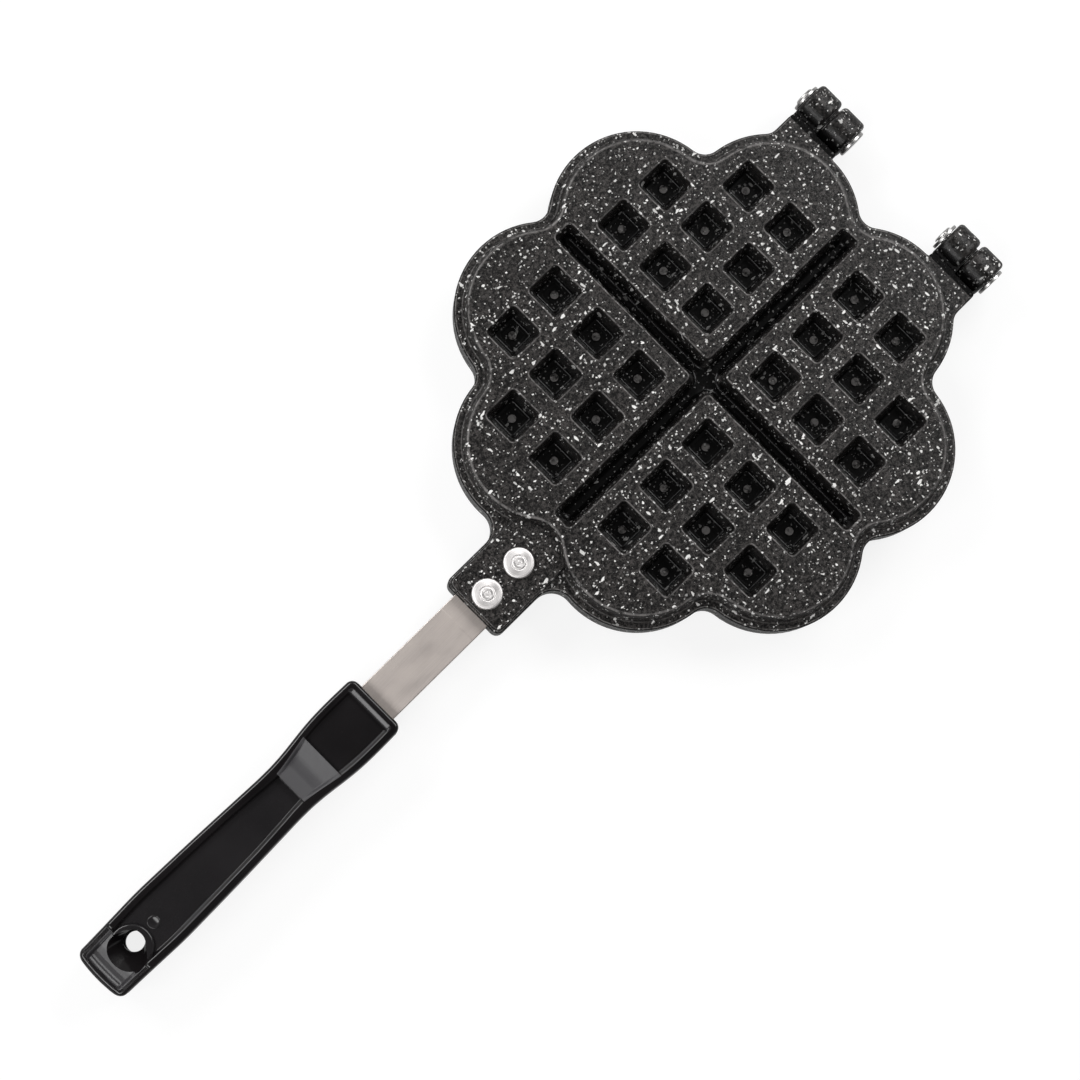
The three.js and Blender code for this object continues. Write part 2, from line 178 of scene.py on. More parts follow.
def convex_round(offset: float, height: float, radius: float, steps: int) -> Profile:
    """Quarter round from a flat top over an edge, as (offset from the side, height).

    Args:
        offset: offset of the side that the round ends on.
        height: height of the flat top.
        radius: radius of the round.
        steps: number of steps.

    Returns:
        Points from the top to the side.
    """
    angles = [QUARTER * step / steps for step in range(steps + 1)]
    return [(offset + radius * (1 - math.sin(a)), height - radius * (1 - math.cos(a))) for a in angles]


def concave_round(offset: float, height: float, radius: float, steps: int) -> Profile:
    """Quarter fillet from a side down to a flat floor, as (offset from the side, height).

    Args:
        offset: offset of the side that the fillet starts on.
        height: height of the floor.
        radius: radius of the fillet.
        steps: number of steps.

    Returns:
        Points from the side to the floor, which lies towards smaller offsets.
    """
    angles = [QUARTER * step / steps for step in range(steps + 1)]
    return [(offset - radius * (1 - math.cos(a)), height + radius * (1 - math.sin(a))) for a in angles]


def between(table: Sequence[tuple[float, float]], at: float) -> float:
    """Value of a table of (place, value) at a place, along straight lines."""
    for (a, low), (b, high) in zip(table, table[1:]):
        if at <= b:
            return low + (high - low) * max(0.0, at - a) / (b - a)
    return table[-1][1]


def corner_draw(radius: float, distance: float) -> float:
    """How far a rounded corner draws an edge in, at a distance from the end."""
    if distance >= radius:
        return 0.0
    return radius - math.sqrt(max(0.0, radius**2 - (radius - max(0.0, distance)) ** 2))


# Meshes


class Shell:
    """A mesh in the making, in millimetres."""

    def __init__(self) -> None:
        """Starts with nothing."""
        self.points: list[tuple[float, float, float]] = []
        self.faces: list[tuple[int, ...]] = []

    def ring(self, points: Sequence[tuple[float, float, float]]) -> list[int]:
        """Adds points and returns their numbers."""
        start = len(self.points)
        self.points += [tuple(point) for point in points]
        return list(range(start, len(self.points)))

    def level(self, outline: Outline, height: float) -> list[int]:
        """Adds an outline at one height and returns its numbers."""
        return self.ring([(x, y, height) for x, y in outline])

    def bridge(self, first: list[int], second: list[int]) -> None:
        """Joins two closed rings of equal count with four-sided faces."""
        count = len(first)
        for index in range(count):
            after = (index + 1) % count
            self.faces.append((first[index], first[after], second[after], second[index]))

    def stack(self, levels: Sequence[tuple[Outline, float]]) -> tuple[list[int], list[int]]:
        """Joins outlines at their heights, one to the next.

        Args:
            levels: outlines of equal count with their heights.

        Returns:
            The numbers of the first and the last ring.
        """
        rings = [self.level(outline, height) for outline, height in levels]
        for one, other in zip(rings, rings[1:]):
            self.bridge(one, other)
        return rings[0], rings[-1]

    def fill(self, rim: list[int], holes: Sequence[list[int]] = (), plane: tuple[int, int] = (0, 1)) -> None:
        """Closes a flat face with triangles, and leaves its holes open.

        Args:
            rim: numbers of the outer ring.
            holes: numbers of each hole's ring.
            plane: the two axes that the face lies along.
        """
        loops = [rim, *holes]
        numbers = [number for loop in loops for number in loop]
        flat = [Vector((self.points[n][plane[0]], self.points[n][plane[1]])) for n in numbers]
        bounds, start = [], 0
        for loop in loops:
            bounds.append(list(range(start, start + len(loop))))
            start += len(loop)
        _, _, faces, origin, _, _ = delaunay_2d_cdt(flat, [], bounds, FillKind.WITH_HOLES.value, FLAT)
        for face in faces:
            self.faces.append(tuple(numbers[origin[vertex][0]] for vertex in face))

    def close(self, levels: Sequence[tuple[Outline, float]]) -> "Shell":
        """Makes a closed solid from outlines at their heights, and returns this shell."""
        first, last = self.stack(levels)
        self.fill(first)
        self.fill(last)
        return self

    def turned(self, profile: Profile, steps: int) -> "Shell":
        """Turns a profile of (radius, height) about the upright axis; it starts and ends on the axis."""
        (_, low), *middle, (_, high) = profile
        rings = [self.level(arc((0.0, 0.0), r, 0.0, 4 * QUARTER, steps)[:-1], h) for r, h in middle]
        for one, other in zip(rings, rings[1:]):
            self.bridge(one, other)
        for ring, height in ((rings[0], low), (rings[-1], high)):
            tip = self.ring([(0.0, 0.0, height)])[0]
            self.faces += [(ring[i], ring[(i + 1) % steps], tip) for i in range(steps)]
        return self

    def block(self, low: Sequence[float], high: Sequence[float]) -> "Shell":
        """Adds a plain box between two corners, and returns this shell."""
        sides = [(low[0], low[1]), (high[0], low[1]), (high[0], high[1]), (low[0], high[1])]
        return self.close([(sides, low[2]), (sides, high[2])])

    def mesh(self, name: str, closed: bool = True) -> bpy.types.Mesh:
        """Makes the mesh in metres, with its doubles merged.

        Args:
            name: name of the mesh.
            closed: whether it is a whole solid, whose faces are turned outwards.

        Returns:
            The new mesh.
        """
        mesh = bpy.data.meshes.new(name)
        mesh.from_pydata([[value * MM for value in point] for point in self.points], [], self.faces)
        tidy(mesh, closed)
        return mesh


def tidy(mesh: bpy.types.Mesh, closed: bool = True) -> None:
    """Merges a mesh's doubles, and turns its faces outwards if it is closed."""
    work = bmesh.new()
    work.from_mesh(mesh)
    bmesh.ops.remove_doubles(work, verts=work.verts, dist=MERGE)
    if closed:
        bmesh.ops.recalc_face_normals(work, faces=work.faces)
        if work.calc_volume(signed=True) < 0:
            bmesh.ops.reverse_faces(work, faces=work.faces)
    work.to_mesh(mesh)
    work.free()
    mesh.update()


def mark(
    mesh: bpy.types.Mesh, label: str, rule: Callable[[float, float, float], float], by_face: bool = False
) -> None:
    """Writes a value on each point or face of a mesh, for its finish to read.

    Args:
        mesh: the mesh that is marked.
        label: name of the value.
        rule: gives the value from a place in millimetres.
        by_face: whether each face takes one value, read at its middle.
    """
    layer = mesh.attributes.new(label, "FLOAT", "FACE" if by_face else "POINT")
    places = [face.center for face in mesh.polygons] if by_face else [point.co for point in mesh.vertices]
    for place, value in zip(places, layer.data):
        value.value = rule(place.x / MM, place.y / MM, place.z / MM)


def object_of(name: str, mesh: bpy.types.Mesh) -> bpy.types.Object:
    """Puts a mesh in the scene as an object at the origin."""
    made = bpy.data.objects.new(name, mesh)
    bpy.context.scene.collection.objects.link(made)
    return made


def discard(*objects: bpy.types.Object) -> None:
    """Takes helper objects and their meshes out of the file."""
    for helper in objects:
        mesh = helper.data
        bpy.data.objects.remove(helper)
        if mesh is not None and mesh.users == 0:
            bpy.data.meshes.remove(mesh)


def evaluated(source: bpy.types.Object) -> bpy.types.Mesh:
    """Plain mesh of an object with its modifiers worked out."""
    bpy.context.view_layer.update()
    graph = bpy.context.evaluated_depsgraph_get()
    return bpy.data.meshes.new_from_object(source.evaluated_get(graph))


def joined(meshes: Sequence[bpy.types.Mesh], name: str) -> bpy.types.Mesh:
    """Puts several meshes into one, with doubles left as they are."""
    work = bmesh.new()
    for mesh in meshes:
        work.from_mesh(mesh)
    made = bpy.data.meshes.new(name)
    work.to_mesh(made)
    work.free()
    return made


def combine(base: bpy.types.Mesh, other: bpy.types.Mesh, how: Cut) -> bpy.types.Mesh:
    """Puts two closed solids together.

    Args:
        base: the solid that is changed.
        other: the solid that is added, taken away or shared with.
        how: which of the three.

    Returns:
        A new mesh.
    """
    first, second = object_of("base", base), object_of("other", other)
    modifier = first.modifiers.new("cut", "BOOLEAN")
    modifier.operation = how.value
    modifier.solver = "MANIFOLD"
    modifier.object = second
    made = evaluated(first)
    discard(first, second)
    tidy(made, closed=False)
    return made


def moved(mesh: bpy.types.Mesh, x: float = 0.0, y: float = 0.0, z: float = 0.0) -> bpy.types.Mesh:
    """Copy of a mesh moved by millimetres."""
    copy = mesh.copy()
    copy.transform(Matrix.Translation(Vector((x, y, z)) * MM))
    return copy


def dressed(name: str, mesh: bpy.types.Mesh, finish: bpy.types.Material, sharp: float = CRISP) -> bpy.types.Object:
    """Finished piece with smooth rounds, crisp edges and one material.

    Args:
        name: name of the piece.
        mesh: its mesh, in place.
        finish: its material.
        sharp: angle in degrees above which an edge stays crisp.

    Returns:
        The object, at the origin.
    """
    mesh.shade_smooth()
    mesh.set_sharp_from_angle(angle=math.radians(sharp))
    mesh.materials.clear()
    mesh.materials.append(finish)
    raw = object_of(f"{name}_raw", mesh)
    weighted = raw.modifiers.new("weighted", "WEIGHTED_NORMAL")
    weighted.keep_sharp = True
    smooth = evaluated(raw)
    discard(raw)
    smooth.name = name
    return object_of(name, smooth)


# Node trees


class Tree:
    """Short-hand for wiring a node tree."""

    def __init__(self, tree: bpy.types.NodeTree) -> None:
        """Keeps the tree that is wired."""
        self.tree = tree

    def node(self, kind: str, settings: dict | None = None, **inputs: object) -> bpy.types.Node:
        """Adds a node.

        Args:
            kind: the node's type name.
            settings: the node's own properties.
            **inputs: values or sockets by input name, with underscores for spaces; in0 is input number 0.

        Returns:
            The new node.
        """
        made = self.tree.nodes.new(kind)
        for key, value in (settings or {}).items():
            setattr(made, key, value)
        for key, value in inputs.items():
            place: int | str = int(key[2:]) if key[2:].isdigit() and key[:2] == "in" else key.replace("_", " ")
            socket = made.inputs[place]
            if isinstance(value, bpy.types.NodeSocket):
                self.tree.links.new(value, socket)
            else:
                socket.default_value = value
        return made

    def math(self, operation: str, *values: object, clamp: bool = False) -> bpy.types.NodeSocket:
        """Result of a Math node."""
        inputs = {f"in{place}": value for place, value in enumerate(values)}
        return self.node("ShaderNodeMath", {"operation": operation, "use_clamp": clamp}, **inputs).outputs[0]

    def link(self, source: bpy.types.NodeSocket, target: bpy.types.NodeSocket) -> None:
        """Joins two sockets."""
        self.tree.links.new(source, target)


class Pattern:
    """A Geometry Nodes tree that repeats one object by a rule."""

    def __init__(self, name: str, numbers: dict[str, float]) -> None:
        """Starts the tree with its named inputs.

        Args:
            name: name of the tree.
            numbers: named sizes with their starting values.
        """
        self.group = bpy.data.node_groups.new(name, "GeometryNodeTree")
        self.tree = Tree(self.group)
        face = self.group.interface
        face.new_socket("Geometry", in_out="INPUT", socket_type="NodeSocketGeometry")
        self.sockets = {"Piece": face.new_socket("Piece", in_out="INPUT", socket_type="NodeSocketObject")}
        self.sockets["Finish"] = face.new_socket("Finish", in_out="INPUT", socket_type="NodeSocketMaterial")
        for label, value in numbers.items():
            self.sockets[label] = face.new_socket(label, in_out="INPUT", socket_type="NodeSocketFloat")
            self.sockets[label].default_value = value
        face.new_socket("Geometry", in_out="OUTPUT", socket_type="NodeSocketGeometry")
        self.inlet = self.tree.node("NodeGroupInput")

    def value(self, label: str) -> bpy.types.NodeSocket:
        """Output of the group's input by its name."""
        return self.inlet.outputs[label]

    def repeat(self, points: bpy.types.NodeSocket) -> None:
        """Ends the tree: the piece on every point, realized, with its finish."""
        piece = self.tree.node("GeometryNodeObjectInfo", Object=self.value("Piece"))
        spread = self.tree.node(
            "GeometryNodeInstanceOnPoints", Points=points, Instance=piece.outputs["Geometry"]
        )
        real = self.tree.node("GeometryNodeRealizeInstances", Geometry=spread.outputs[0])
        finish = self.tree.node("GeometryNodeSetMaterial", Geometry=real.outputs[0], Material=self.value("Finish"))
        outlet = self.tree.node("NodeGroupOutput")
        self.tree.link(finish.outputs[0], outlet.inputs[0])

    def mesh(
        self, piece: bpy.types.Mesh, finish: bpy.types.Material | None = None, **numbers: float
    ) -> bpy.types.Mesh:
        """Runs the tree once.

        Args:
            piece: the mesh that is repeated.
            finish: the material that the result takes.
            **numbers: values of the named sizes, with underscores for spaces.

        Returns:
            The repeated piece as one plain mesh.
        """
        sample = object_of("sample", piece)
        carrier = object_of("carrier", bpy.data.meshes.new("carrier"))
        modifier = carrier.modifiers.new("pattern", "NODES")
        modifier.node_group = self.group
        modifier[self.sockets["Piece"].identifier] = sample
        if finish is not None:
            modifier[self.sockets["Finish"].identifier] = finish
        for label, value in numbers.items():
            modifier[self.sockets[label.replace("_", " ")].identifier] = float(value)
        made = evaluated(carrier)
        discard(carrier, sample)
        return made


def heart_field() -> Pattern:
    """Pattern of the pits: a square grid in each quarter, kept within a reach of the middle.

    Returns:
        A pattern with the sizes First, Pitch, Reach and Rows.
    """
    pattern = Pattern("heart_field", {"First": 0.02, "Pitch": 0.0246, "Reach": 0.09, "Rows": 3.0})
    tree = pattern.tree
    count = tree.math("MULTIPLY", pattern.value("Rows"), 2.0)
    size = tree.math("SUBTRACT", count, 1.0)
    grid = tree.node("GeometryNodeMeshGrid", Size_X=size, Size_Y=size)
    for label in ("Vertices X", "Vertices Y"):
        tree.link(count, grid.inputs[label])
    place = tree.node("ShaderNodeSeparateXYZ", Vector=tree.node("GeometryNodeInputPosition").outputs[0])
    spots = []
    for axis in ("X", "Y"):
        away = tree.math("SUBTRACT", tree.math("ABSOLUTE", place.outputs[axis]), 0.5)
        distance = tree.math("ADD", tree.math("MULTIPLY", away, pattern.value("Pitch")), pattern.value("First"))
        spots.append(tree.math("MULTIPLY", distance, tree.math("SIGN", place.outputs[axis])))
    spot = tree.node("ShaderNodeCombineXYZ", X=spots[0], Y=spots[1])
    laid = tree.node("GeometryNodeSetPosition", Geometry=grid.outputs[0], Position=spot.outputs[0])
    length = tree.node(
        "ShaderNodeVectorMath", {"operation": "LENGTH"}, in0=tree.node("GeometryNodeInputPosition").outputs[0]
    )
    beyond = tree.math("GREATER_THAN", length.outputs["Value"], pattern.value("Reach"))
    kept = tree.node("GeometryNodeDeleteGeometry", Geometry=laid.outputs[0], Selection=beyond)
    pattern.repeat(kept.outputs[0])
    return pattern


def row_of() -> Pattern:
    """Pattern of equal steps along a line, with the sizes Count, First X, Step X, First Y and Step Y."""
    pattern = Pattern("row_of", {"Count": 2.0, "First X": 0.0, "Step X": 0.0, "First Y": 0.0, "Step Y": 0.0})
    tree = pattern.tree
    first = tree.node("ShaderNodeCombineXYZ", X=pattern.value("First X"), Y=pattern.value("First Y"))
    step = tree.node("ShaderNodeCombineXYZ", X=pattern.value("Step X"), Y=pattern.value("Step Y"))
    line = tree.node("GeometryNodeMeshLine", Start_Location=first.outputs[0], Offset=step.outputs[0])
    tree.link(pattern.value("Count"), line.inputs["Count"])
    pattern.repeat(line.outputs[0])
    return pattern


# Finishes


class Finish:
    """A procedural material, built once from its own nodes."""

    name = "finish"
    slot = ""

    def __init__(self) -> None:
        """Builds the material."""
        self.material = bpy.data.materials.new(self.name)
        self.material.use_nodes = True
        self.tree = Tree(self.material.node_tree)
        self.shader = self.material.node_tree.nodes["Principled BSDF"]
        self.place = self.tree.node("ShaderNodeTexCoord").outputs["Object"]
        self.build()

    def build(self) -> None:
        """Wires the nodes; each finish has its own."""
        raise NotImplementedError

    def noise(
        self, scale: float, detail: float = 3.0, rough: float = 0.5, where: bpy.types.NodeSocket | None = None
    ) -> bpy.types.NodeSocket:
        """Grey noise whose grains are about one over scale metres wide."""
        return self.tree.node(
            "ShaderNodeTexNoise", Vector=where or self.place, Scale=scale, Detail=detail, Roughness=rough
        ).outputs["Fac"]

    def ramp(self, source: bpy.types.NodeSocket, low: float, high: float, to: tuple[float, float] = (0.0, 1.0)
             ) -> bpy.types.NodeSocket:
        """Stretches a value from low..high to a range, clamped."""
        node = self.tree.node("ShaderNodeMapRange", {"clamp": True}, Value=source)
        for label, value in (("From Min", low), ("From Max", high), ("To Min", to[0]), ("To Max", to[1])):
            node.inputs[label].default_value = value
        return node.outputs[0]

    def blend(self, share: object, first: object, second: object, way: Blend = Blend.MIX) -> bpy.types.NodeSocket:
        """Mixes two colours."""
        node = self.tree.node("ShaderNodeMix", {"data_type": "RGBA", "blend_type": way.value})
        for place, value in ((0, share), (6, first), (7, second)):
            if isinstance(value, bpy.types.NodeSocket):
                self.tree.link(value, node.inputs[place])
            else:
                node.inputs[place].default_value = value
        return node.outputs[2]

    def bump(
        self, height: bpy.types.NodeSocket, distance: float, strength: object,
        under: bpy.types.NodeSocket | None = None,
    ) -> bpy.types.NodeSocket:
        """Bumped normal from a height of 0 to 1 that stands for a distance in metres."""
        node = self.tree.node("ShaderNodeBump", Height=height, Distance=distance, Strength=strength)
        if under is not None:
            self.tree.link(under, node.inputs["Normal"])
        return node.outputs[0]

    def attribute(self, label: str) -> bpy.types.NodeSocket:
        """Value that the mesh itself carries under a name."""
        return self.tree.node("ShaderNodeAttribute", {"attribute_name": label}).outputs["Fac"]

    def stretched(self, x: float, y: float, z: float) -> bpy.types.NodeSocket:
        """Object coordinates scaled by axis."""
        return self.tree.node("ShaderNodeMapping", Vector=self.place, Scale=(x, y, z)).outputs[0]

    def plain(self, **values: object) -> None:
        """Sets the shader's own sockets."""
        for label, value in values.items():
            self.shader.inputs[label.replace("_", " ")].default_value = value


@dataclass(frozen=True)
class Chips:
    """One kind of pale chip in the coating: its width in metres, how many cells show one, and its least shine."""

    width: float
    share: float
    seed: float
    shine: float
    stretch: tuple[float, float, float] = (1.0, 1.0, 1.0)
    turn: float = 0.0


class GraniteCoating(Finish):
    """Dark non-stick coating with pale mineral chips of several sizes."""

    name = "granite_coating"
    slot = "granite_coating"
    dark = (0.0020, 0.0018, 0.0018, 1)
    grey = (0.0800, 0.0745, 0.0720, 1)
    patch_low = (0.80, 0.80, 0.80, 1)
    patch_high = (1.15, 1.13, 1.12, 1)
    # painted shade: the near-black tone that pits, grooves, hinge valleys and the flange's sides are darkened to
    hollow = (0.0018, 0.0017, 0.0017, 1)
    # painted highlight: the lighter grey laid on the rounds of the rims and lips
    highlight_tone = (0.210, 0.200, 0.195, 1)
    chip_tone = (0.94, 0.93, 0.91, 1)
    # share of the chips left where shade is painted
    chip_in_hollow = 0.16
    chip_edge = 0.0006
    smoother_in_hollow = 0.08
    chips = (
        Chips(0.00200, 0.0052, 4.1, 0.75, (1.0, 2.2, 1.0), 0.6),
        Chips(0.00180, 0.0040, 7.3, 0.60, (2.1, 1.0, 1.0), 0.2),
        Chips(0.00098, 0.0075, 0.3, 0.55),
        Chips(0.00074, 0.0170, 1.7, 0.30),
        Chips(0.00052, 0.0300, 2.9, 0.12),
    )

    def chip_mask(self, chips: Chips, where: bpy.types.NodeSocket) -> bpy.types.NodeSocket:
        """Mask of angular chips: single cells picked at random from a cellular pattern."""
        laid = self.tree.node(
            "ShaderNodeMapping", Vector=where, Location=(chips.seed, chips.seed, chips.seed),
            Rotation=(0.0, 0.0, chips.turn), Scale=chips.stretch,
        )
        cells = self.tree.node(
            "ShaderNodeTexVoronoi", {"feature": "F1"}, Vector=laid.outputs[0], Scale=1 / chips.width
        )
        pick = self.tree.node("ShaderNodeSeparateColor", Color=cells.outputs["Color"])
        chosen = self.tree.math("LESS_THAN", pick.outputs[0], chips.share)
        shine = self.ramp(self.tree.math("POWER", pick.outputs[1], 1.3), 0.0, 1.0, (chips.shine, 1.0))
        return self.tree.math("MULTIPLY", chosen, shine)

    def build(self) -> None:
        """Wires mottled grey, chips, satin roughness and a fine grain, with painted shade in the pits, grooves and
        hinge valleys and on the flange's sides, and painted highlights on the rounds of the rims and lips.
        """
        mottle = self.ramp(self.noise(800.0, 4.0, 0.85), 0.44, 0.64)
        patches = self.ramp(self.noise(90.0, 3.0), 0.3, 0.7)
        ground = self.blend(mottle, self.dark, self.grey)
        shade = self.blend(patches, self.patch_low, self.patch_high)
        tinted = self.blend(1.0, ground, shade, Blend.MULTIPLY)
        warp = self.tree.node("ShaderNodeTexNoise", Vector=self.place, Scale=750.0, Detail=2.0)
        offset = self.tree.node(
            "ShaderNodeVectorMath", {"operation": "MULTIPLY_ADD"}, in0=warp.outputs["Color"],
            in1=(self.chip_edge, self.chip_edge, self.chip_edge), in2=self.place,
        ).outputs[0]
        masks = [self.chip_mask(chips, offset) for chips in self.chips]
        pale = masks[0]
        for mask in masks[1:]:
            pale = self.tree.math("MAXIMUM", pale, mask)
        # painted shade: darker, with fewer chips, in pits, grooves, hinge valleys and on the flange's sides
        recess_shade = self.attribute(RECESS_SHADE)
        pale = self.tree.math("MULTIPLY", pale, self.ramp(recess_shade, 0.0, 1.0, (1.0, self.chip_in_hollow)))
        shaded = self.blend(recess_shade, tinted, self.hollow)
        # painted highlight: a lighter, broken line on the rounds of the rims and lips
        highlight = self.tree.math("MULTIPLY", self.attribute(PAINTED_HIGHLIGHT), self.ramp(self.noise(420.0, 4.0, 0.65), 0.36, 0.56))
        highlighted = self.blend(highlight, shaded, self.highlight_tone)
        self.tree.link(self.blend(pale, highlighted, self.chip_tone), self.shader.inputs["Base Color"])
        rough = self.tree.math("SUBTRACT", self.ramp(mottle, 0.0, 1.0, (0.35, 0.27)),
                               self.tree.math("MULTIPLY", recess_shade, self.smoother_in_hollow))
        self.tree.link(rough, self.shader.inputs["Roughness"])
        grain = self.bump(self.noise(1100.0, 3.0, 0.6), 0.0003, self.ramp(recess_shade, 0.0, 1.0, (0.9, 0.2)))
        raised = self.bump(pale, 0.00003, 0.6, grain)
        self.tree.link(raised, self.shader.inputs["Normal"])
        self.plain(Metallic=0.0, IOR=1.33)


class StripSteel(Finish):
    """Warm grey strip steel, rolled and brushed along its length, with faint handling marks."""

    name = "strip_steel"
    slot = "strip_steel"
    stained = (0.74, 0.670, 0.625, 1)
    clean = (0.90, 0.815, 0.765, 1)
    streak_low = (0.9, 0.9, 0.9, 1)
    streak_high = (1.06, 1.06, 1.06, 1)

    def build(self) -> None:
        """Wires fine lines along X, stains and scratches."""
        lines = self.noise(1.0, 4.0, 0.6, self.stretched(60.0, 5200.0, 5200.0))
        stains = self.ramp(self.noise(1.0, 3.0, 0.55, self.stretched(70.0, 160.0, 160.0)), 0.3, 0.72)
        tone = self.blend(stains, self.stained, self.clean)
        streak = self.blend(self.ramp(lines, 0.3, 0.7), self.streak_low, self.streak_high)
        self.tree.link(self.blend(1.0, tone, streak, Blend.MULTIPLY), self.shader.inputs["Base Color"])
        self.tree.link(self.ramp(stains, 0.0, 1.0, (0.52, 0.42)), self.shader.inputs["Roughness"])
        brushed = self.bump(lines, 0.000012, 0.5)
        self.tree.link(self.bump(self.noise(240.0, 2.0), 0.00004, 0.35, brushed), self.shader.inputs["Normal"])
        self.plain(Metallic=1.0)


class TurnedSteel(Finish):
    """Bright steel with fine rings from turning, read from the piece's own map of angle and radius."""

    name = "turned_steel"
    slot = "rivet_steel"
    ring_low = (0.76, 0.735, 0.725, 1)
    ring_high = (0.95, 0.925, 0.915, 1)

    def build(self) -> None:
        """Wires rings by radius and a spun sheen."""
        spun = self.tree.node("ShaderNodeUVMap", {"uv_map": SPUN_MAP})
        parts = self.tree.node("ShaderNodeSeparateXYZ", Vector=spun.outputs[0])
        rings = self.tree.node("ShaderNodeTexNoise", {"noise_dimensions": "1D"}, W=parts.outputs["Y"], Scale=26.0,
                               Detail=3.0)
        tone = self.blend(self.ramp(rings.outputs["Fac"], 0.35, 0.65), self.ring_low, self.ring_high)
        self.tree.link(tone, self.shader.inputs["Base Color"])
        self.tree.link(self.ramp(self.noise(900.0, 2.0), 0.3, 0.7, (0.50, 0.54)), self.shader.inputs["Roughness"])
        self.tree.link(self.bump(rings.outputs["Fac"], 0.00002, 0.35), self.shader.inputs["Normal"])
        tangent = self.tree.node("ShaderNodeTangent", {"direction_type": "UV_MAP", "uv_map": SPUN_MAP})
        self.tree.link(tangent.outputs[0], self.shader.inputs["Tangent"])
        self.plain(Metallic=1.0, Anisotropic=0.75)


class PinSteel(Finish):
    """Bright steel of the hinge pins and washers, with fine wear."""

    name = "pin_steel"
    slot = "pin_steel"
    dull = (0.60, 0.59, 0.58, 1)
    bright = (0.70, 0.69, 0.68, 1)

    def build(self) -> None:
        """Wires wear marks and a satin roughness."""
        highlight_and_wear = self.ramp(self.noise(800.0, 3.0), 0.3, 0.7)
        self.tree.link(self.blend(highlight_and_wear, self.dull, self.bright), self.shader.inputs["Base Color"])
        self.tree.link(self.ramp(highlight_and_wear, 0.0, 1.0, (0.30, 0.38)), self.shader.inputs["Roughness"])
        self.plain(Metallic=1.0)


class Bakelite(Finish):
    """Glossy black bakelite with a slight waviness, dust-fine specks and hairline scuffs."""

    name = "bakelite"
    slot = "bakelite"
    cloud_low = (0.0058, 0.0050, 0.0054, 1)
    cloud_high = (0.0098, 0.0084, 0.0090, 1)
    # painted sheen: the lighter grey of the satin saddle, lip and sloping end
    satin_tone = (0.062, 0.060, 0.064, 1)
    speck_tone = (0.05, 0.045, 0.045, 1)
    scuff_roughness = 0.06
    satin_roughness = 0.30

    def build(self) -> None:
        """Wires the moulded sheen, with a painted sheen of lighter grey on the places marked satin."""
        cloud = self.ramp(self.noise(45.0, 3.0), 0.3, 0.7)
        specks = self.ramp(self.noise(2600.0, 1.0), 0.74, 0.8, (0.0, 0.35))
        # painted sheen where the mesh is marked satin, together with a higher roughness
        satin = self.attribute(SATIN_SHEEN)
        ground = self.blend(cloud, self.cloud_low, self.cloud_high)
        sheened = self.blend(satin, ground, self.satin_tone)
        self.tree.link(self.blend(specks, sheened, self.speck_tone), self.shader.inputs["Base Color"])
        scuffs = self.ramp(self.noise(1.0, 4.0, 0.6, self.stretched(500.0, 1700.0, 1700.0)), 0.45, 0.75)
        rough = self.tree.math("ADD", self.ramp(cloud, 0.0, 1.0, (0.09, 0.14)),
                               self.tree.math("MULTIPLY", scuffs, self.scuff_roughness))
        rough = self.tree.math("ADD", rough, self.tree.math("MULTIPLY", satin, self.satin_roughness))
        self.tree.link(rough, self.shader.inputs["Roughness"])
        wavy = self.bump(self.noise(110.0, 2.0), 0.00015, 0.14)
        self.tree.link(self.bump(self.noise(1500.0, 2.0), 0.00001, 0.25, wavy), self.shader.inputs["Normal"])
        self.plain(Metallic=0.0, IOR=1.52)


# The castings


